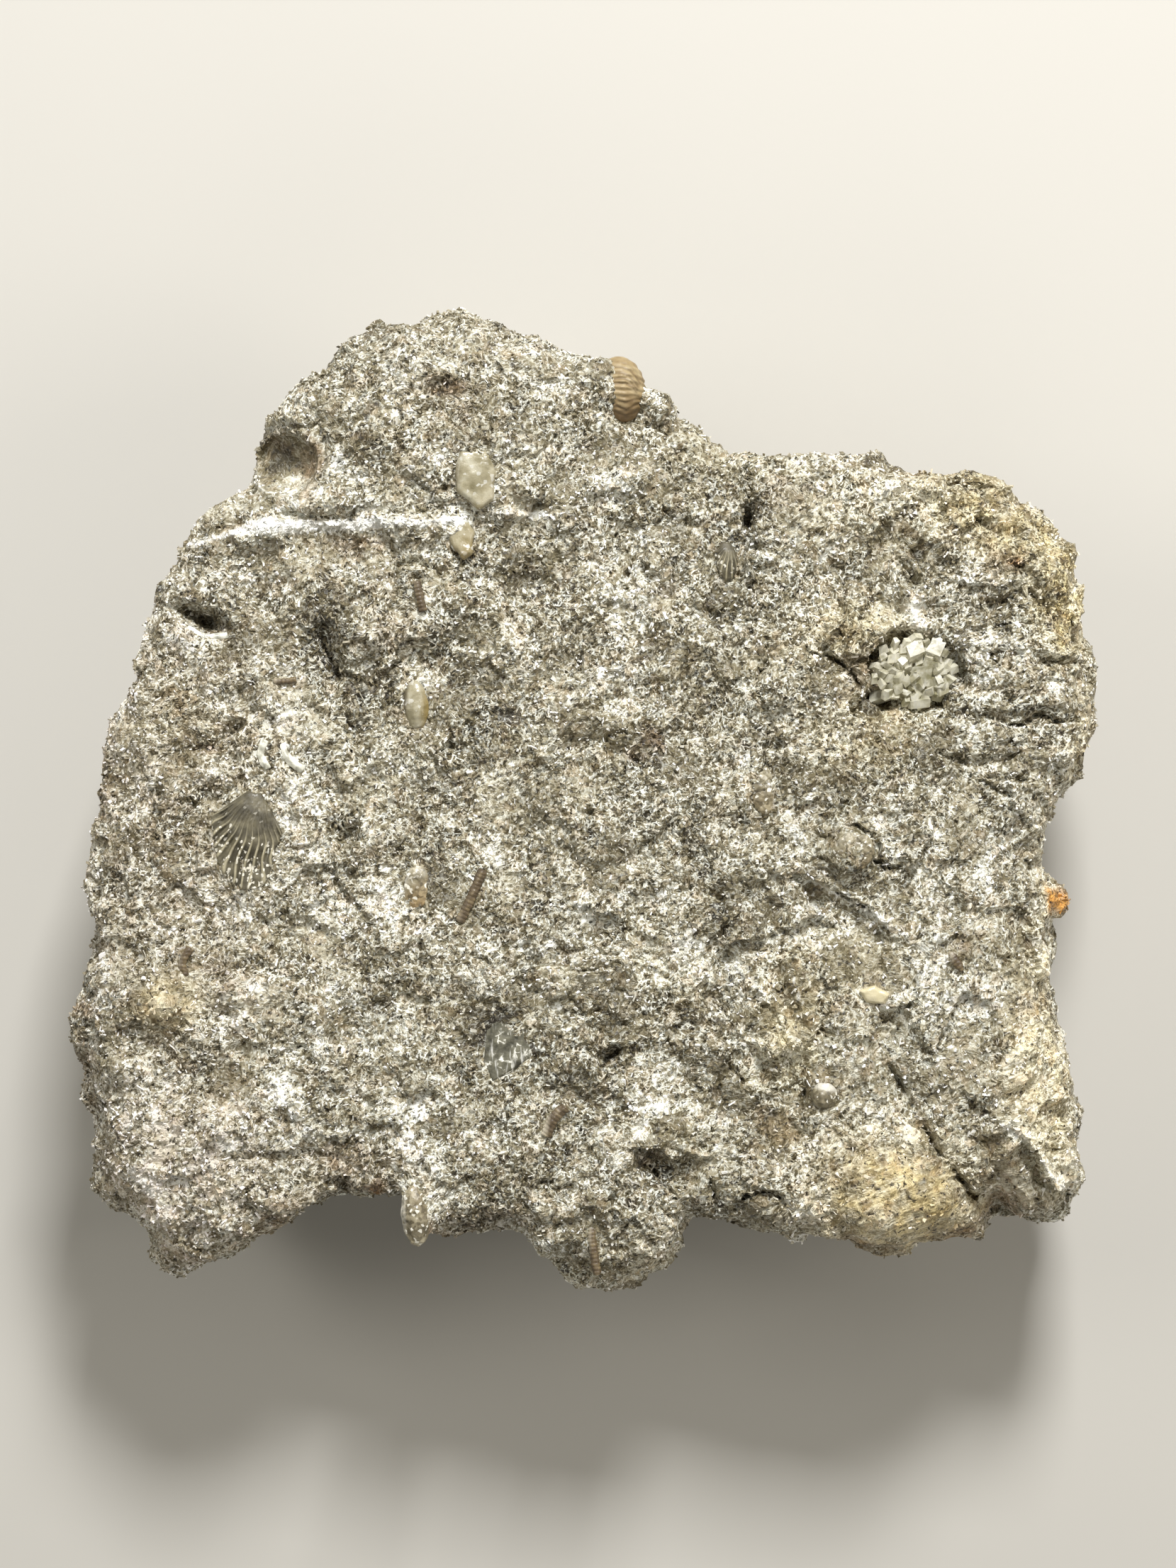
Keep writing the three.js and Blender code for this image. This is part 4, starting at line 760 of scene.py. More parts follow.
def crinoidal_limestone():
    """Crinoidal limestone, broken: tightly packed grains of grey to cream calcite. Each grain cleaves its
    own way, so neighbours differ in brightness and some glint white."""
    material, tree, surface, mm = new_material("crinoidal_limestone_broken")
    wander = add(tree, "TexNoise", {}, {"Vector": mm, "Scale": 1 / 0.6, "Detail": 3.0}, "Color")
    shift = add(tree, "VectorMath", {"operation": "MULTIPLY_ADD"}, {0: wander, 1: (CELL_WANDER,) * 3, 2: mm})
    cells = [
        add(tree, "TexVoronoi", {}, {"Vector": shift, "Scale": 1 / size}, "Color") for size in CELL_SIZES]
    grain, chip, crumb = (add(tree, "SeparateColor", {}, {"Color": cell}, None) for cell in cells)
    streak = cleavage_streaks(tree, mm, cells[0])
    patches = [
        add(tree, "TexNoise", {}, {"Vector": mm, "Scale": 1 / size, "Detail": 2.0}) for size in PATCH_SIZES]
    drift = add(tree, "TexNoise", {}, {"Vector": mm, "Scale": 1 / 2.4, "Detail": 2.0}, "Color")
    drift = add(tree, "VectorMath", {"operation": "MULTIPLY_ADD"}, {0: drift, 1: (CLAST_WANDER,) * 3, 2: mm})
    clast = add(tree, "TexVoronoi", {}, {"Vector": drift, "Scale": 1 / CLAST_SIZE}, "Color")
    clast = add(tree, "SeparateColor", {}, {"Color": clast}, None)
    tone = TONE_START
    for part, share in zip((grain[0], chip[0], crumb[0], streak, *patches, clast[0]), TONE_SHARES):
        tone = add(tree, "Math", {"operation": "MULTIPLY_ADD"}, {0: part, 1: share, 2: tone})
    calm = add(tree, "Attribute", {"attribute_name": "calm"}, {}, "Fac")
    smooth = add(tree, "MapRange", {}, {"Value": clast[2], "From Min": 0.74, "From Max": 0.8, "To Max": 0.7})
    calm = add(tree, "Math", {"operation": "MAXIMUM"}, {0: calm, 1: smooth})
    lively = add(tree, "MapRange", {}, {"Value": calm, "To Min": 1.0, "To Max": CALM_LEAST})
    tone = add(tree, "Mix", {}, {0: lively, 2: CALM_TONE, 3: tone})
    glassy = add(tree, "MapRange", {}, {"Value": clast[1], "To Min": -0.34, "To Max": 0.2})
    tone = add(tree, "Math", {"operation": "MULTIPLY_ADD"}, {0: smooth, 1: glassy, 2: tone})
    fibrous = add(tree, "Attribute", {"attribute_name": "fibrous"}, {}, "Fac")
    tone = add(tree, "Math", {"operation": "MULTIPLY_ADD"}, {0: fibrous, 1: fibre_streaks(tree, mm), 2: tone})
    colour = add(tree, "ValToRGB", {"stops": ROCK_TONES}, {"Fac": shifted(tree, tone)})
    # Dark specks: painted shade of tiny pits between the grains
    pit_shade = add(tree, "TexNoise", {}, {"Vector": mm, "Scale": 1 / 0.42, "Detail": 2.0})
    colour = marked(tree, colour, pit_shade, 0.4, 0.33, 1.0, "#40392B")
    edge = bright_edges(tree, mm, shift, streak)
    crackle = add(tree, "MapRange", {}, {"Value": clast[1], "To Min": 0.45, "To Max": 1.0})
    for weight in (crackle, lively):
        edge = add(tree, "Math", {"operation": "MULTIPLY"}, {0: edge, 1: weight})
    colour = add(tree, "Mix", {"data_type": "RGBA"}, {0: edge, 6: colour, 7: linear("#FEFFF9")}, 2)
    hue = add(tree, "ValToRGB", {"stops": GRAIN_HUES}, {"Fac": grain[2]})
    tinted = {"data_type": "RGBA", "blend_type": "MULTIPLY"}
    colour = stained_shaded_and_highlighted(tree, mm, add(tree, "Mix", tinted, {0: 0.5, 6: colour, 7: hue}, 2))
    rough = add(tree, "MapRange", {}, {"Value": chip[1], "To Min": 0.25, "To Max": 0.7})
    face = add(tree, "NewGeometry", {}, {}, "Normal")
    tilt = face
    for cell, lean in ((cells[1], 1.1), (cells[2], 0.85)):
        away = add(tree, "VectorMath", {"operation": "SUBTRACT"}, {0: cell, 1: (0.5, 0.5, 0.5)})
        tilt = add(tree, "VectorMath", {"operation": "MULTIPLY_ADD"}, {0: away, 1: (lean,) * 3, 2: tilt})
    tilt = add(tree, "Mix", {"data_type": "VECTOR"}, {0: lively, 4: face, 5: tilt}, 1)
    normal = add(tree, "VectorMath", {"operation": "NORMALIZE"}, {0: tilt})
    normal = add(tree, "Bump", {}, {
        "Height": streak, "Distance": 0.25 * MM, "Strength": 0.7, "Normal": normal})
    shader = add(tree, "BsdfPrincipled", {}, {
        "Base Color": colour, "Roughness": rough, "Normal": normal, "IOR": CALCITE_IOR})
    tree.links.new(shader, surface)
    return material


def fix(piece, material, slot, *nodes):
    """Finishes a piece grown into the rock: its material and the nodes that it stands for. The slot is not
    used.
    """
    piece.data.materials.clear()
    piece.data.materials.append(material)
    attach(piece, "root")
    if nodes:
        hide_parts(*nodes)


paint_stains_shade_and_highlights(block.data, places(block.data))
fix(block, crinoidal_limestone(), "limestone", "limestone_matrix")

# Spar grains: the loose-looking crumbs and cleaved bits of calcite that stand out of the broken face, each
# one a small slanted block of clear to white spar, held by the rock.
GRAIN_PIECES = 3
GRAINS_EACH = 14000
GRAIN_LEAST = 0.05
GRAIN_MOST = 0.2
GRAIN_SINKS = 0.05
GRAIN_STRETCH = (1.8, 0.9, 0.55)
GRAINS_START = 4
GRAINS_FULL = 14
# A block's corners and faces, and the directions of its edges, which slant as calcite cleaves
BOX_CORNERS = np.array([(x, y, z) for z in (-1, 1) for y in (-1, 1) for x in (-1, 1)])
BOX_FACES = np.array([(0, 2, 3, 1), (4, 5, 7, 6), (0, 1, 5, 4), (2, 6, 7, 3), (0, 4, 6, 2), (1, 3, 7, 5)])
CLEAVAGE = np.array([(1, 0, 0), (0.21, 0.98, 0), (0.21, 0.17, 0.96)])


def over_fossil(point):
    """Whether a fossil lies straight above or below a place of the face, given in millimetres."""
    start = Vector((point[0] * MM, point[1] * MM, 0.1))
    return fossil_tree.ray_cast(start, Vector((0, 0, -1)))[0] is not None


def scattered(count, random):
    """Places just under the block's skin, more of them where its face is rough."""
    block.data.calc_loop_triangles()
    corners = np.empty(3 * len(block.data.loop_triangles), np.int32)
    block.data.loop_triangles.foreach_get("vertices", corners)
    a, b, c = (places(block.data)[corners.reshape(-1, 3)[:, i]] for i in range(3))
    across = np.cross(b - a, c - a)
    area = np.linalg.norm(across, axis=1)
    middle = (a + b + c) / 3
    wanted = area * fade(middle[:, 2], GRAINS_START, GRAINS_FULL) * (1 - 0.55 * share_of(SMOOTHER, middle))
    wanted *= 1 - 0.85 * share_of(CALM, middle)
    wanted *= np.where(across[:, 2] > 0.2 * area, 1, 0.5)
    chosen = random.choice(len(area), count, p=wanted / wanted.sum())
    shares = random.random((count, 2))
    shares = np.where(shares.sum(axis=1)[:, None] > 1, 1 - shares, shares)
    centre = a[chosen] + shares[:, :1] * (b - a)[chosen] + shares[:, 1:] * (c - a)[chosen]
    return centre - GRAIN_SINKS * (across / area[:, None])[chosen]


def turned(count, random):
    """Random rotations, one matrix for each grain."""
    spins = random.normal(size=(count, 4))
    w, x, y, z = (spins / np.linalg.norm(spins, axis=1)[:, None]).T
    rows = [[1 - 2 * (y * y + z * z), 2 * (x * y - w * z), 2 * (x * z + w * y)],
            [2 * (x * y + w * z), 1 - 2 * (x * x + z * z), 2 * (y * z - w * x)],
            [2 * (x * z - w * y), 2 * (y * z + w * x), 1 - 2 * (x * x + y * y)]]
    return np.moveaxis(np.array(rows), 2, 0)


def spar_grains(name, seed):
    """One joined mesh of slanted blocks of spar, sunk into the block's skin, with none over a fossil."""
    random = np.random.default_rng(seed)
    centre = scattered(GRAINS_EACH, random)
    sizes = GRAIN_LEAST + (GRAIN_MOST - GRAIN_LEAST) * random.random((GRAINS_EACH, 3)) ** 1.7
    own = random.random(GRAINS_EACH)
    turns = turned(GRAINS_EACH, random)
    bare = np.array([not over_fossil(point) for point in centre])
    centre = centre[bare]
    shapes = (BOX_CORNERS[None] * (sizes * GRAIN_STRETCH)[bare][:, None]) @ CLEAVAGE
    points = np.einsum("nij,nkj->nki", turns[bare], shapes) + centre[:, None]
    faces = BOX_FACES[None] + 8 * np.arange(len(centre))[:, None, None]
    mesh = bpy.data.meshes.new(name)
    mesh.from_pydata((points.reshape(-1, 3) * MM).tolist(), [], faces.reshape(-1, 4).tolist())
    paint_stains_shade_and_highlights(mesh, np.repeat(centre, 8, axis=0))
    paint(mesh, "own_tone", np.repeat(own[bare], 8))
    grains = bpy.data.objects.new(name, mesh)
    bpy.context.scene.collection.objects.link(grains)
    return grains


def calcite_surface(tree, surface, colour, pattern, rough, depth, strength, clearness=0.0, ior=CALCITE_IOR):
    """Gives a surface calcite's gloss and fine relief. Both follow one pattern, the gloss from its
    smoothest to its roughest and the relief to a depth in millimetres."""
    gloss = add(tree, "MapRange", {}, {"Value": pattern, "To Min": rough[0], "To Max": rough[1]})
    bump = add(tree, "Bump", {}, {"Height": pattern, "Distance": depth * MM, "Strength": strength})
    shader = add(tree, "BsdfPrincipled", {}, {
        "Base Color": colour, "Roughness": gloss, "Normal": bump,
        "IOR": ior, "Transmission Weight": clearness})
    tree.links.new(shader, surface)


def cleaved_spar():
    """Cleaved calcite spar in grains: flat fresh faces, each grain its own grey, cream or white."""
    material, tree, surface, mm = new_material("calcite_spar_cleaved")
    own = add(tree, "Attribute", {"attribute_name": "own_tone"}, {}, "Fac")
    cloud = add(tree, "TexNoise", {}, {"Vector": mm, "Scale": 1 / 0.25, "Detail": 2.0})
    broad = add(tree, "TexNoise", {}, {"Vector": mm, "Scale": 1 / 6.0, "Detail": 2.0})
    tone = -0.22
    for part, share in ((own, 0.62), (cloud, 0.4), (broad, 0.5)):
        tone = add(tree, "Math", {"operation": "MULTIPLY_ADD"}, {0: part, 1: share, 2: tone})
    colour = add(tree, "ValToRGB", {"stops": ROCK_TONES}, {"Fac": shifted(tree, tone)})
    calcite_surface(tree, surface, stained_shaded_and_highlighted(tree, mm, colour), cloud, (0.2, 0.55), 0.04, 0.6)
    return material


spar = cleaved_spar()
for number in range(1, GRAIN_PIECES + 1):
    fix(spar_grains(f"spar_grains_{number}", 900 + number), spar, "limestone")

# Trilobite tail: the pygidium, a domed shield of tan calcite shell with a rib for each fused segment. It
# stands half buried at the upper edge of the block, its left flank still in the rock.
SHIELD_GRID = 0.085
SHIELD_RISE = 0.06
SHIELD_IOR = 1.55
GROOVE_WIDTH = 0.12
GROOVE_DEPTH = 0.07
SHIELD_GROOVES = [
    [(1.5, 38.0), (2.2, 37.9), (2.9, 37.8), (3.6, 37.5), (4.1, 37.05), (4.45, 36.4), (4.6, 36)],
    [(1.4, 37.4), (2.05, 37.38), (2.9, 37.38), (3.6, 37.1), (4.1, 36.6), (4.45, 36.05)],
    [(1.4, 36.8), (2.15, 36.85), (2.9, 36.83), (3.5, 36.65), (3.9, 36.2), (4.3, 35.7)],
    [(1.5, 36.3), (2.5, 36.38), (3.05, 36.38), (3.5, 36.2), (3.9, 35.85), (4.2, 35.4)],
    [(1.6, 35.85), (2.3, 35.98), (3.2, 35.97), (3.8, 35.65), (4.15, 35.2)],
    [(1.7, 35.4), (2.5, 35.52), (3.2, 35.52), (3.8, 35.35), (4.2, 35)],
    [(1.8, 34.95), (2.5, 35.02), (3.2, 34.98), (3.9, 35), (4.3, 34.9)],
    [(2, 34.85), (2.3, 34.7), (2.7, 34.47), (3.25, 34.36), (3.7, 34.5), (4.1, 34.65), (4.5, 34.7)],
    [(2.1, 34.4), (2.4, 34.13), (2.8, 33.9), (3.25, 33.76), (3.7, 33.93), (4.1, 34.25), (4.5, 34.4)],
    [(2.3, 33.7), (2.8, 33.4), (3.25, 33.3), (3.8, 33.5), (4.3, 33.9)],
]
FADED_GROOVES = (0, 5, 6)
FADED_STRENGTH = 0.45


def fine_copy(name, nodes, grid, rounds):
    """A copy of CAD nodes with an even, softened skin that is as fine as the grid in millimetres."""
    piece = bare_copy(name, nodes)
    even_skin(piece, grid, rounds)
    piece.data.polygons.foreach_set("use_smooth", [True] * len(piece.data.polygons))
    return piece


def roughen(piece, height, size, seed):
    """Wears the piece's skin by a little rise and fall of the given size."""
    points = places(piece.data)
    move_to(piece.data, points + normals(piece.data) * (height * swell(points, size, seed))[:, None])


shield = fine_copy("trilobite_shield", ["trilobite_tail"], SHIELD_GRID, 14)
points = places(shield.data)
groove = np.zeros(len(points))
for number, path in enumerate(SHIELD_GROOVES):
    distance, _ = path_distance(points, path)
    strength = FADED_STRENGTH if number in FADED_GROOVES else 1
    groove = np.maximum(groove, strength * np.exp(-((distance / GROOVE_WIDTH) ** 2)))
move_to(shield.data, points - normals(shield.data) * (GROOVE_DEPTH * groove - SHIELD_RISE)[:, None])
roughen(shield, 0.012, 0.3, 301)
paint(shield.data, "groove", groove)


def clouded(tree, mm, size, detail, stops):
    """A colour in clouds of about a size in millimetres, between the colours of the stops."""
    cloud = add(tree, "TexNoise", {}, {"Vector": mm, "Scale": 1 / size, "Detail": detail})
    return add(tree, "ValToRGB", {"stops": stops}, {"Fac": cloud})


def tan_exoskeleton():
    """Trilobite shell, turned to fine-grained tan calcite: silky, a little darker in its grooves, and darker
    towards the tip, where iron has stained it and shade is painted on the end away from the light."""
    material, tree, surface, mm = new_material("trilobite_shell_tan")
    colour = clouded(tree, mm, 0.9, 3.0, [(0.3, "#8A7550"), (0.5, "#9A8660"), (0.68, "#AA9974")])
    # Darker towards the tip: iron stain, and painted shade on the lower end, which faces away from the light
    up_y = add(tree, "SeparateXYZ", {}, {"Vector": mm}, "Y")
    colour = marked(tree, colour, up_y, 35.2, 33.2, 0.8, "#6B5130")
    colour = laid_over(tree, colour, "groove", "#5E4A2E", 0.65)
    grit = add(tree, "TexNoise", {}, {"Vector": mm, "Scale": 1 / 0.09, "Detail": 1.0})
    calcite_surface(tree, surface, colour, grit, (0.42, 0.62), 0.02, 0.5, ior=SHIELD_IOR)
    return material


fix(shield, tan_exoskeleton(), "tan_exoskeleton", "trilobite_tail")

# Ribbed valves: a fan-shaped shell lying flat in the face, left of the middle, and a small dark one under
# the overhanging edge. Both are thin grey-brown shell, ribbed from the hinge outwards, that splits away
# between its ribs.
FAN_APEX = (-27.75, 1.7)
FAN_REACH = 9.4
FAN_RIBS = 9
FAN_RIB_HEIGHT = 0.22
SMALL_APEX = (12.35, 22.9)
SMALL_REACH = 3.6
SMALL_RIBS = 6.5
SMALL_RIB_HEIGHT = 0.12


def ribbed_valve(name, node, apex, reach, ribs_per_radian, height, grid):
    """A valve with ribs that spread from its hinge and break up towards its edge."""
    valve = fine_copy(name, [node], grid, 12)
    points = places(valve.data)
    away = points[:, :2] - np.array(apex)
    distance = np.linalg.norm(away, axis=1)
    angle = np.arctan2(away[:, 0], -away[:, 1]) + 0.05 * swell(points, 1.6, 311)
    wave = np.cos(2 * math.pi * ribs_per_radian * angle + 0.8 * swell(points, 2.6, 312))
    rib = np.clip(0.5 + 0.5 * wave, 0, 1) ** 1.6
    out = np.clip(distance / reach, 0, 1)
    worn = fade(out, 0.42, 0.92) * (0.55 + 0.6 * swell(points, 0.8, 313))
    lift = height * rib * np.clip(out * 2.2, 0.15, 1)
    lift = lift - np.clip(worn, 0, 1) * (1 - rib) * 1.1 * height - 0.5 * height
    up = np.clip(normals(valve.data)[:, 2], 0, 1)
    points[:, 2] += up * (lift + 0.04 * swell(points, 0.35, 314))
    move_to(valve.data, points)
    paint(valve.data, "rib", rib * np.clip(out * 1.8 - 0.1, 0, 1))
    paint(valve.data, "worn", worn)
    return valve


def chips_of(tree, mm, size):
    """Three random shares for each chip of a surface, in chips of about a size in millimetres."""
    chips = add(tree, "TexVoronoi", {}, {"Vector": mm, "Scale": 1 / size}, "Color")
    return add(tree, "SeparateColor", {}, {"Color": chips}, None)


def grey_brown_shell():
    """Old shell calcite, grey-brown with organic matter: dull, with paler worn ribs and specks of spar."""
    material, tree, surface, mm = new_material("shell_calcite_grey_brown")
    colour = clouded(tree, mm, 1.1, 4.0, [(0.3, "#423D2F"), (0.5, "#5A5442"), (0.7, "#78715A")])
    rib = add(tree, "Attribute", {"attribute_name": "rib"}, {}, "Fac")
    colour = marked(tree, colour, rib, 0.5, 1.0, 0.85, "#BDB496")
    chips = chips_of(tree, mm, 0.24)
    worn = add(tree, "Attribute", {"attribute_name": "worn"}, {}, "Fac")
    speck = add(tree, "Math", {"operation": "MULTIPLY_ADD"}, {0: worn, 1: 0.5, 2: chips[0]})
    colour = marked(tree, colour, speck, 0.97, 1.03, 1.0, "#EDE8D8")
    gloss = add(tree, "MapRange", {}, {"Value": chips[1], "To Min": 0.35, "To Max": 0.7})
    bump = add(tree, "Bump", {}, {"Height": chips[2], "Distance": 0.05 * MM, "Strength": 0.7})
    shader = add(tree, "BsdfPrincipled", {}, {
        "Base Color": colour, "Roughness": gloss, "Normal": bump, "IOR": CALCITE_IOR})
    tree.links.new(shader, surface)
    return material


valve_shell = grey_brown_shell()
fan = ribbed_valve("fan_valve", "fan_shell", FAN_APEX, FAN_REACH, FAN_RIBS, FAN_RIB_HEIGHT, 0.12)
fix(fan, valve_shell, "grey_brown_shell", "fan_shell")
small_valve = ribbed_valve(
    "dark_valve", "dark_ribbed_shell", SMALL_APEX, SMALL_REACH, SMALL_RIBS, SMALL_RIB_HEIGHT, 0.08)
fix(small_valve, valve_shell, "grey_brown_shell", "dark_ribbed_shell")

# Amber shell pieces: broken bits of thick shell whose calcite has stayed clear enough to glow tan to
# orange. One is a rounded plate, one a tear below it, and one a lens with a bright orange rim.
AMBER_GRID = 0.09


def rim_amount(piece, toward_x, toward_y, starts, ends):
    """How near points are to the piece's rim on one side: 0 at starts and 1 at ends of its half width."""
    points = places(piece.data)
    low, high = points.min(axis=0), points.max(axis=0)
    part = (points - (low + high) / 2) / ((high - low) / 2)
    return fade(part[:, 0] * toward_x + part[:, 1] * toward_y, starts, ends)


def amber_shell():
    """Clear shell calcite with a little iron: light passes some way in, so that its rims glow amber."""
    material, tree, surface, mm = new_material("shell_calcite_amber")
    colour = clouded(tree, mm, 1.3, 4.0, [(0.3, "#938A6B"), (0.48, "#B7AE90"), (0.66, "#DDD7BF")])
    colour = laid_over(tree, colour, "amber", "#9B8446")
    colour = laid_over(tree, colour, "shaded", "#5F513B")
    colour = marked(tree, colour, chips_of(tree, mm, 0.3)[0], 0.9, 0.95, 0.6, "#F8F6EC")
    grit = add(tree, "TexNoise", {}, {"Vector": mm, "Scale": 1 / 0.16, "Detail": 2.0})
    calcite_surface(tree, surface, colour, grit, (0.18, 0.45), 0.04, 0.6, clearness=0.3)
    return material


amber = amber_shell()
# Name, CAD node, the side that glows amber, where that starts and how strong it is, the dark side and how
# dark it is, how far the piece is spread, and how many millimetres its upper end sinks and the whole rises
AMBER_PIECES = [
    ("tan_plate", "tan_shell_plate", (0.6, -0.6), 0.25, 0.3, (-1, 0.2), 0.3, 1.3, 0.35, -0.05),
    ("amber_tear", "amber_shell_tear", (0.5, -0.8), -0.9, 0.62, (-1, 0), 0.3, 1.15, 0, 0.6),
    ("amber_lens", "amber_rimmed_lens", (1, -0.1), 0.2, 0.85, (-1, 0.1), 0.9, 1.05, 0, 0),
]
for name, node, *rims, spread, sunk, lift in AMBER_PIECES:
    piece = fine_copy(name, [node], AMBER_GRID, 9)
    points = places(piece.data)
    away = points - points.mean(axis=0)
    upper = np.clip(away[:, 1] / away[:, 1].max(), 0, 1) ** 2
    points[:, 0] += away[:, 0] * (spread * (1 - sunk * upper) - 1)
    points[:, 1] += away[:, 1] * 0.5 * (spread - 1)
    points[:, 2] += lift - sunk * upper
    move_to(piece.data, points)
    roughen(piece, 0.09, 0.8, 321)
    roughen(piece, 0.03, 0.3, 322)
    amber_side, amber_starts, amber_strength, dark_side, dark_strength = rims
    paint(piece.data, "amber", amber_strength * rim_amount(piece, *amber_side, amber_starts, 0.75))
    paint(piece.data, "shaded", dark_strength * rim_amount(piece, *dark_side, 0.6, 0.95))
    fix(piece, amber, "amber_shell_calcite", node)

# Grey shell and stem pieces: rounded bodies that weathered free of the rock, a lens, a cone, a cap, a bead
# and a long cap on the lower edge, of olive-grey calcite with a white edge where they broke; on the bead the
# white is a painted highlight on its lit upper side.
GREY_GRID = 0.09
GREY_SUNK = 0.15
WORN_HEIGHT = 0.9


def wear_top(piece, worn):
    """Flattens the top of a piece, worn down nearly level with the rock; 0 leaves it as it is."""
    points = places(piece.data)
    shoulder = points[:, 2].max() - WORN_HEIGHT
    points[:, 2] -= worn * np.maximum(points[:, 2] - shoulder, 0)
    move_to(piece.data, points)


def grey_shell():
    """Dense shell calcite, olive-grey to tan, worn smooth: satin, faintly clouded, white where chipped, and
    with a painted highlight on the bead.
    """
    material, tree, surface, mm = new_material("shell_calcite_grey")
    colour = clouded(tree, mm, 1.2, 4.0, [(0.3, "#665E4A"), (0.48, "#8B8269"), (0.66, "#B0A78D")])
    colour = laid_over(tree, colour, "amber", "#A68A5C")
    chip = chips_of(tree, mm, 0.26)[0]
    shade = add(tree, "ValToRGB", {"stops": [(0, "#9C9788"), (0.6, "#FFFFFF")]}, {"Fac": chip})
    shaded = {"data_type": "RGBA", "blend_type": "MULTIPLY"}
    colour = add(tree, "Mix", shaded, {0: 0.8, 6: colour, 7: shade}, 2)
    colour = marked(tree, colour, chip, 0.86, 0.92, 0.8, "#F2EFE2")
    # White where chipped, and on the bead a painted highlight
    colour = laid_over(tree, colour, "white", "#F4F1E6")
    grit = add(tree, "TexNoise", {}, {"Vector": mm, "Scale": 1 / 0.2, "Detail": 2.0})
    calcite_surface(tree, surface, colour, grit, (0.3, 0.6), 0.05, 0.7)
    return material


grey = grey_shell()
# Name, CAD node, the warm side, the side broken white, and on the bead the side painted with a highlight, how
# warm and how white these are, how much of the top is worn away, and the relief of its facets in millimetres
GREY_PIECES = [
    ("grey_lens", "grey_oval_lens", (0.3, -1), (-1, 0.4), 0.7, 0.3, 0.15, 0.1),
    ("cone_body", "cone_shell", (0, -1), (-1, 0.3), 0.2, 0.35, 0.25, 0.16),
    ("cap_body", "cap_shell", (0.2, -1), (-0.5, 0.8), 0.2, 0.15, 0.6, 0.16),
    # The bead's white side is a painted highlight on its upper, lit side
    ("bead_body", "round_bead", (0, 1), (0.3, 1.7), 0, 0.55, 0, 0.05),
    ("long_cap", "smooth_edge_cap", (0.4, 0.8), (-1, 0), 0.15, 0.55, 0.2, 0.05),
]
for name, node, warm_side, white_edge_and_highlight_side, warm_strength, white_and_highlight_strength, worn, facet in GREY_PIECES:
    piece = fine_copy(name, [node], GREY_GRID, 8)
    wear_top(piece, worn)
    move_to(piece.data, places(piece.data) - (0, 0, GREY_SUNK))
    roughen(piece, 0.05, 0.3, 332)
    points = places(piece.data)
    move_to(piece.data, points + normals(piece.data) * (facet * facets(points, 0.8, 331))[:, None])
    paint(piece.data, "amber", warm_strength * rim_amount(piece, *warm_side, -0.3, 0.8))
    paint(piece.data, "white", white_and_highlight_strength * rim_amount(piece, *white_edge_and_highlight_side, 0.55, 0.9))
    fix(piece, grey, "grey_shell_calcite", node)

# Stem pieces and spines: short lengths of sea-lily stem, an arm ring and a spine, lying in the face like
# thin rods. The stems are stacks of low discs, so they show fine rings.
DISC = 0.34
RING_DEPTH = 0.05
STEM_GRID = 0.08


def brown_stem():
    """Sea-lily stem calcite stained brown by iron: dull, ringed, paler on the worn upper side."""
    material, tree, surface, mm = new_material("stem_calcite_brown")
    colour = clouded(tree, mm, 0.7, 4.0, [(0.3, "#423522"), (0.5, "#5E4F37"), (0.7, "#877756")])
    colour = laid_over(tree, colour, "ring", "#4A3826", 0.5)
    colour = laid_over(tree, colour, "white", "#E6DDC6")
    grit = add(tree, "TexNoise", {}, {"Vector": mm, "Scale": 1 / 0.15, "Detail": 2.0})
    calcite_surface(tree, surface, colour, grit, (0.35, 0.65), 0.04, 0.7)
    return material


stem = brown_stem()
STEM_PIECES = [
    ("upper_stem", "stem_piece_upper", 0.1), ("middle_stem", "stem_piece_middle", 0.15),
    ("left_stem", "stem_piece_left", 0.3), ("ring_stem", "stem_ring", 0.2),
    ("bent_flake", "curved_flake", 0.8), ("edge_spine", "long_spine", 0.5),
    ("tan_spindle_body", "tan_spindle", 0.4),
]
for name, node, pale_side in STEM_PIECES:
    piece = fine_copy(name, [node], STEM_GRID, 5)
    points = places(piece.data)
    middle = points[:, :2] - points[:, :2].mean(axis=0)
    run = np.linalg.svd(middle, full_matrices=False)[2][0]
    ring = (0.5 + 0.5 * np.cos(2 * math.pi * (middle @ run) / DISC)) ** 3
    move_to(piece.data, points - normals(piece.data) * (RING_DEPTH * ring)[:, None])
    roughen(piece, 0.05, 0.4, 341)
    paint(piece.data, "ring", ring)
    paint(piece.data, "white", pale_side * rim_amount(piece, -1, 0.2, 0.3, 0.9))
    fix(piece, stem, "brown_stem_calcite", node)

# White shell edges and chips: the two crescents above the fan shell, the rim of the slit-shaped mould, and
# a cream chip in the lower right part, all of milky calcite broken clean.
WHITE_GRID = 0.08


def milky_calcite():
    """Milky calcite: white with a bluish or cream cast, bright broken edges and a slight glow."""
    material, tree, surface, mm = new_material("calcite_milky")
    colour = clouded(tree, mm, 0.6, 4.0, [(0.32, "#8F9088"), (0.46, "#C9CABF"), (0.6, "#F6F5EC")])
    colour = laid_over(tree, colour, "amber", "#D2C6A0")
    grit = add(tree, "TexNoise", {}, {"Vector": mm, "Scale": 1 / 0.15, "Detail": 2.0})
    calcite_surface(tree, surface, colour, grit, (0.2, 0.45), 0.04, 0.7)
    return material


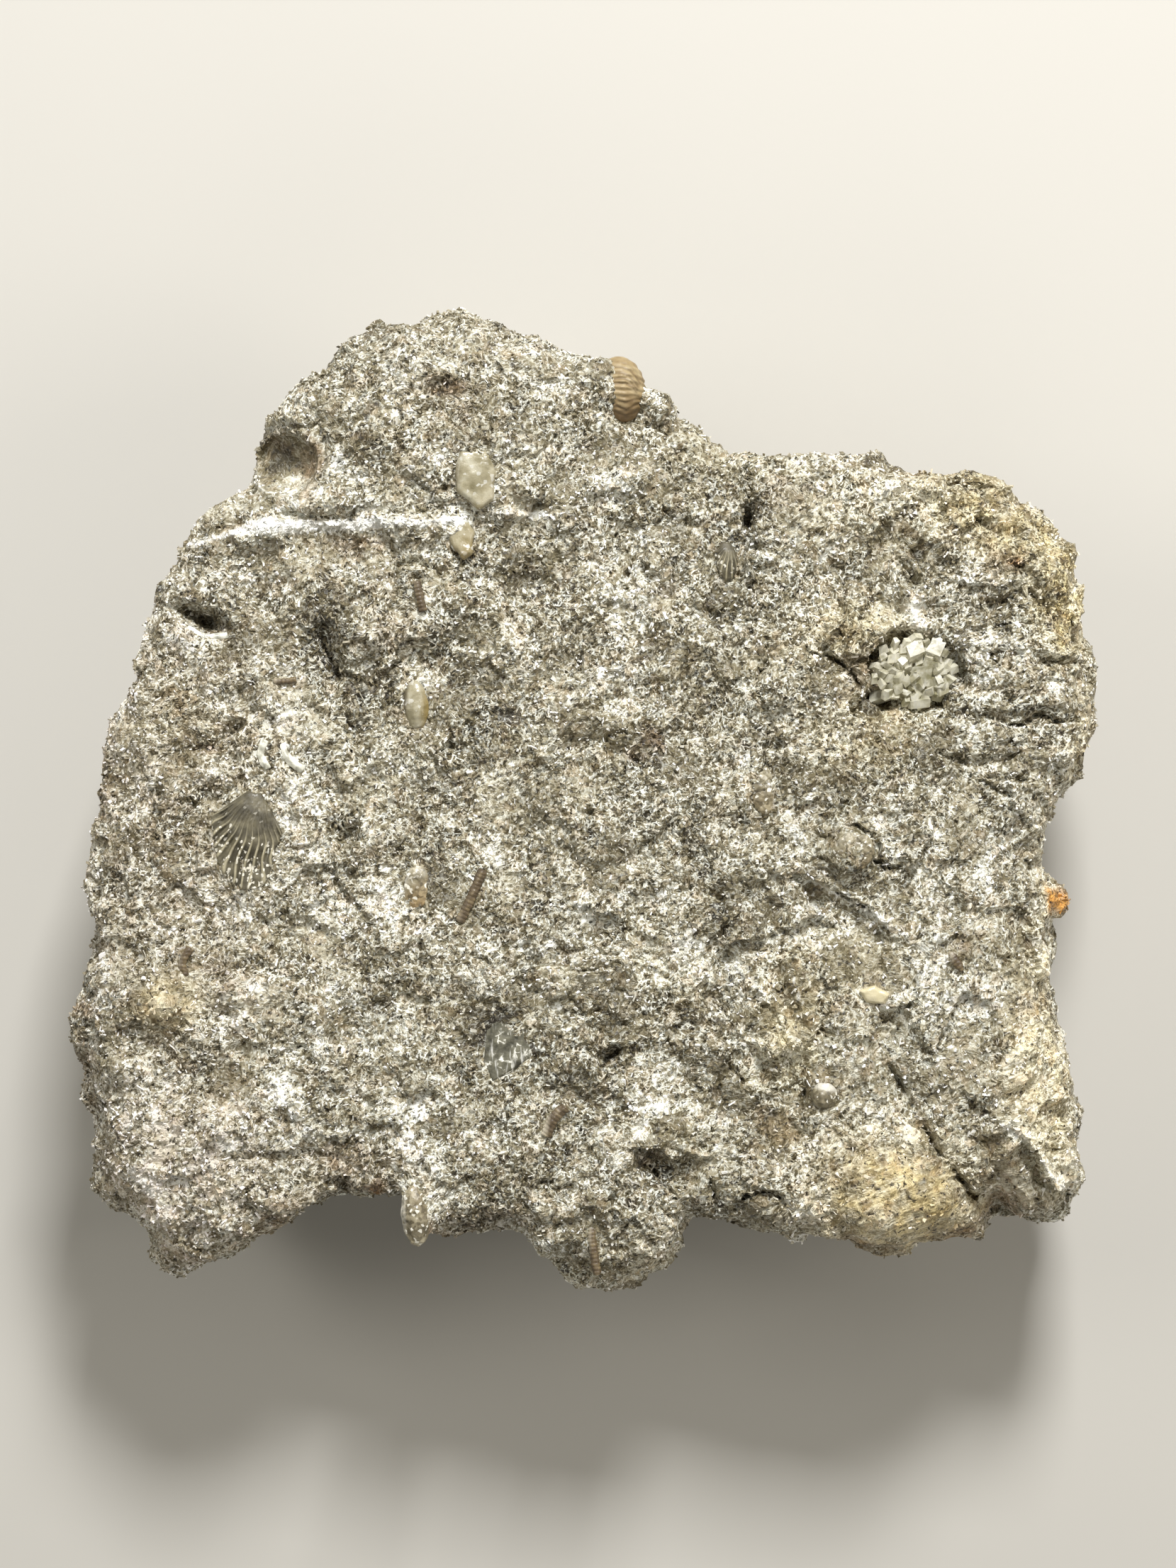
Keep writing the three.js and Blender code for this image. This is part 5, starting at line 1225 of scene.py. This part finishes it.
milky = milky_calcite()
WHITE_PIECES = [
    ("slit_rim", "slit_shell_edge", 0.1, 0.3), ("left_crescent", "white_crescent_left", 0.2, 0.25),
    ("right_crescent", "white_crescent_right", 0.2, 0.25), ("cream_flake", "cream_chip", 0.9, 0.15),
]
for name, node, warmth, sunk in WHITE_PIECES:
    piece = fine_copy(name, [node], WHITE_GRID, 5)
    move_to(piece.data, places(piece.data) - (0, 0, sunk))
    roughen(piece, 0.08, 0.5, 351)
    paint(piece.data, "amber", np.full(len(piece.data.vertices), warmth))
    fix(piece, milky, "white_calcite", node)

# Clear calcite: the dark glassy cleavage plate in the lower middle, and the crystals grown together in the
# hollow at the right, cream to greenish, which light passes through.
CRYSTAL_CORNER = 0.04
CORNER_ANGLE = math.radians(28)
SMALL_CRYSTALS = 60
CRYSTAL_SHARE = 0.72
GOLDEN_TURN = 2.4
HOLLOW_MIDDLE = (28.1, 11.5)
HOLLOW_REACH = (3.5, 3.0)
HOLLOW_DEPTH = 1.6
PLATE_SUNK = 0.2


def clear_calcite(name, light, dark, clearness, chips):
    """Clear calcite: sharp flat faces, veiled inside, with white flaws along its cleavage."""
    material, tree, surface, mm = new_material(name)
    veil = add(tree, "TexNoise", {}, {"Vector": mm, "Scale": 1 / 0.8, "Detail": 5.0})
    own = add(tree, "Attribute", {"attribute_name": "own_tone"}, {}, "Fac")
    tone = add(tree, "Math", {"operation": "MULTIPLY_ADD"}, {0: own, 1: 0.3, 2: veil})
    colour = add(tree, "ValToRGB", {"stops": [(0.45, dark), (0.75, light)]}, {"Fac": tone})
    across = add(tree, "Mapping", {}, {"Vector": mm, "Rotation": (0.5, 0.3, 0.6), "Scale": (3.2, 0.5, 0.8)})
    flaw = add(tree, "TexNoise", {}, {"Vector": across, "Scale": 1.0, "Detail": 3.0})
    colour = marked(tree, colour, flaw, 0.58, 0.7, 0.5, "#FFFEF6")
    wander = add(tree, "TexNoise", {}, {"Vector": mm, "Scale": 1 / 0.6, "Detail": 3.0}, "Color")
    along = add(tree, "VectorMath", {"operation": "MULTIPLY_ADD"}, {0: wander, 1: (1, 1, 1), 2: mm})
    edge = add(tree, "TexVoronoi", {"feature": "DISTANCE_TO_EDGE"}, {"Vector": along, "Scale": 1 / 0.9})
    edge = add(tree, "MapRange", {}, {"Value": edge, "From Min": 0.1, "From Max": 0.02})
    broken = add(tree, "MapRange", {}, {"Value": veil, "From Min": 0.5, "From Max": 0.6, "To Max": chips})
    edge = add(tree, "Math", {"operation": "MULTIPLY"}, {0: edge, 1: broken})
    colour = add(tree, "Mix", {"data_type": "RGBA"}, {0: edge, 6: colour, 7: linear("#F4F2E6")}, 2)
    calcite_surface(tree, surface, colour, veil, (0.28, 0.55), 0.2, 0.6, clearness)
    return material


# Crystals of the hollow: x, y, height above its floor, half sizes, turn and two leans in degrees
CRYSTALS = [
    (28.7, 10.9, 0.2, 1.45, 1.5, 1.1, 12, 10, -14), (28.1, 13.2, 0.5, 1, 0.9, 1, 24, -12, 8),
    (29.9, 13.3, 0.6, 0.95, 0.85, 0.9, -18, -10, -12), (30.4, 10, 0.3, 0.65, 0.95, 0.8, 14, 4, 26),
    (28.5, 8.7, 0.1, 1.3, 0.6, 0.9, 8, 24, 0), (26.8, 9.9, 0.2, 0.55, 0.65, 0.9, 30, 10, -22),
    (26.2, 11.3, -0.1, 0.6, 0.7, 0.9, -24, 16, 18), (25.3, 9.6, -0.9, 1.3, 1, 0.9, 14, -16, -24),
    (27.2, 12.1, 0.3, 0.6, 0.5, 0.8, 50, -20, 14), (29.4, 12.1, 0.5, 0.8, 0.4, 0.9, -6, 18, 6),
    (30.8, 11.6, 0.2, 0.5, 0.7, 0.7, -30, 12, -8), (27.5, 9.5, 0, 0.5, 0.6, 0.8, -38, -14, 10),
]


def grown_crystals(name, floor_z):
    """Slanted cleavage blocks of calcite grown into one another, their edges just broken."""
    random = np.random.default_rng(77)
    small = []
    for number in range(SMALL_CRYSTALS):
        turn = GOLDEN_TURN * number
        out = math.sqrt((number + 0.5) / SMALL_CRYSTALS)
        rise = random.uniform(0.1, 0.7)
        x = HOLLOW_MIDDLE[0] + HOLLOW_REACH[0] * out * math.cos(turn)
        y = HOLLOW_MIDDLE[1] + HOLLOW_REACH[1] * out * math.sin(turn)
        small.append((x, y, rise, *random.uniform(0.35, 0.7, 3), *random.uniform(-45, 45, 3)))
    grown = []
    for x, y, rise, half_length, half_width, half_height, turn, lean_x, lean_y in CRYSTALS + small:
        solid = bmesh.new()
        uneven = random.uniform(0.72, 1.12, (8, 3))
        sizes = np.array((half_length, half_width, half_height)) * CRYSTAL_SHARE
        for corner in (BOX_CORNERS * uneven * sizes) @ CLEAVAGE * MM:
            solid.verts.new(corner)
        bmesh.ops.convex_hull(solid, input=solid.verts)
        mesh = bpy.data.meshes.new(name)
        solid.to_mesh(mesh)
        solid.free()
        leans = Matrix.Rotation(math.radians(lean_x), 4, "X") @ Matrix.Rotation(math.radians(lean_y), 4, "Y")
        place = Matrix.Translation((x * MM, y * MM, floor_z + rise * MM))
        mesh.transform(place @ Matrix.Rotation(math.radians(turn), 4, "Z") @ leans)
        grown.append(bpy.data.objects.new(name, mesh))
        bpy.context.scene.collection.objects.link(grown[-1])
    crust = grown[0]
    for crystal in grown[1:]:
        union = crust.modifiers.new("grown together", "BOOLEAN")
        union.operation = "UNION"
        union.object = crystal
    break_edges(crust)
    for crystal in grown[1:]:
        bpy.data.objects.remove(crystal)
    return crust


def break_edges(piece):
    """Just breaks the piece's sharp edges, and bakes its modifiers into its mesh."""
    bevel = piece.modifiers.new("broken edges", "BEVEL")
    bevel.width = CRYSTAL_CORNER * MM
    bevel.segments = 2
    bevel.limit_method = "ANGLE"
    bevel.angle_limit = CORNER_ANGLE
    bake_modifiers(piece)


_, crust_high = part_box("calcite_crust")
crystals = grown_crystals("calcite_crystals", crust_high[2] - HOLLOW_DEPTH * MM)
points = places(crystals.data)
apart = [np.hypot(points[:, 0] - crystal[0], points[:, 1] - crystal[1]) for crystal in CRYSTALS]
paint(crystals.data, "own_tone", hashed(np.stack([np.argmin(apart, axis=0)] * 3, axis=1), 61))
pale_crystal = clear_calcite("calcite_crystals_clear", "#FFFBE6", "#AEA883", 0.5, 0.8)
fix(crystals, pale_crystal, "clear_calcite", "calcite_crust")
plate = bare_copy("glassy_cleavage", ["glassy_plate"])
break_edges(plate)
move_to(plate.data, places(plate.data) - (0, 0, PLATE_SUNK))
paint(plate.data, "own_tone", np.full(len(plate.data.vertices), 0.4))
dark_plate = clear_calcite("calcite_cleavage_dark", "#787562", "#38362B", 0.05, 1)
fix(plate, dark_plate, "clear_calcite", "glassy_plate")

# Plain studio: a pale floor, one soft but small light above the head of the block, as in the photograph, and
# weak ones round it.
FLOOR_HALF = 0.6
floor_mesh = bpy.data.meshes.new("studio_floor")
floor_mesh.from_pydata([(x, y, FLOOR_Z) for x, y in ((-1, -1), (1, -1), (1, 1), (-1, 1))], [], [(0, 1, 2, 3)])
floor_mesh.transform(Matrix.Diagonal((FLOOR_HALF, FLOOR_HALF, 1, 1)))
floor = bpy.data.objects.new("studio_floor", floor_mesh)
bpy.context.scene.collection.objects.link(floor)


def studio_paper():
    """Matt studio paper, pale warm grey."""
    material, tree, surface, _ = new_material("matt_studio_paper")
    shader = add(tree, "BsdfPrincipled", {}, {"Base Color": linear("#C0BDB6"), "Roughness": 0.9})
    tree.links.new(shader, surface)
    return material


floor_mesh.materials.append(studio_paper())
MIDDLE = Vector((0, 0, 0.024))


def studio_light(name, place, size, power, colour):
    """A square light that shines on the block from a place, of a size in metres and a power in watts."""
    light = bpy.data.lights.new(name, "AREA")
    light.size = size
    light.energy = power
    light.color = linear(colour)[:3]
    lamp = bpy.data.objects.new(name, light)
    lamp.location = place
    lamp.rotation_euler = (MIDDLE - lamp.location).to_track_quat("-Z", "Y").to_euler()
    bpy.context.scene.collection.objects.link(lamp)


studio_light("key_light", Vector((0.06, 0.34, 0.34)), 0.11, 3.2, "#FFFFFF")
studio_light("left_light", Vector((-0.36, 0.1, 0.3)), 0.2, 0.62, "#FFFCF4")
studio_light("right_light", Vector((0.38, 0.02, 0.26)), 0.2, 0.55, "#FFF9EE")
studio_light("front_fill", Vector((0.05, -0.4, 0.3)), 0.3, 0.38, "#FFFDF6")
world = bpy.data.worlds.new("soft_surround")
world.use_nodes = True
world.node_tree.nodes["Background"].inputs["Color"].default_value = linear("#F1EEE4")
world.node_tree.nodes["Background"].inputs["Strength"].default_value = 0.13
bpy.context.scene.world = world
bpy.context.scene.view_settings.view_transform = "Standard"

# Camera straight above the face, as far away as makes the block fill the picture as it does in the
# photograph. The block's pixels are its left, right, upper and lower edge there.
PHOTO_SIZE = (1659, 2212)
BLOCK_PIXELS = (98, 1561, 435, 1833)
photo_scale = (cad_box[1][0] - cad_box[0][0]) / (BLOCK_PIXELS[1] - BLOCK_PIXELS[0])
block_middle = ((BLOCK_PIXELS[0] + BLOCK_PIXELS[1]) / 2, (BLOCK_PIXELS[2] + BLOCK_PIXELS[3]) / 2)
RIM_Z = 0.021
camera_data = bpy.data.cameras.new("camera")
camera_data.sensor_fit = "VERTICAL"
camera_data.sensor_height = 36
camera_data.lens = 85
camera = bpy.data.objects.new("camera", camera_data)
reach = PHOTO_SIZE[1] * photo_scale * camera_data.lens / camera_data.sensor_height
side = (PHOTO_SIZE[0] / 2 - block_middle[0]) * photo_scale
rise = (block_middle[1] - PHOTO_SIZE[1] / 2) * photo_scale
camera.location = (side, rise, RIM_Z + reach)
bpy.context.scene.collection.objects.link(camera)
bpy.context.scene.camera = camera
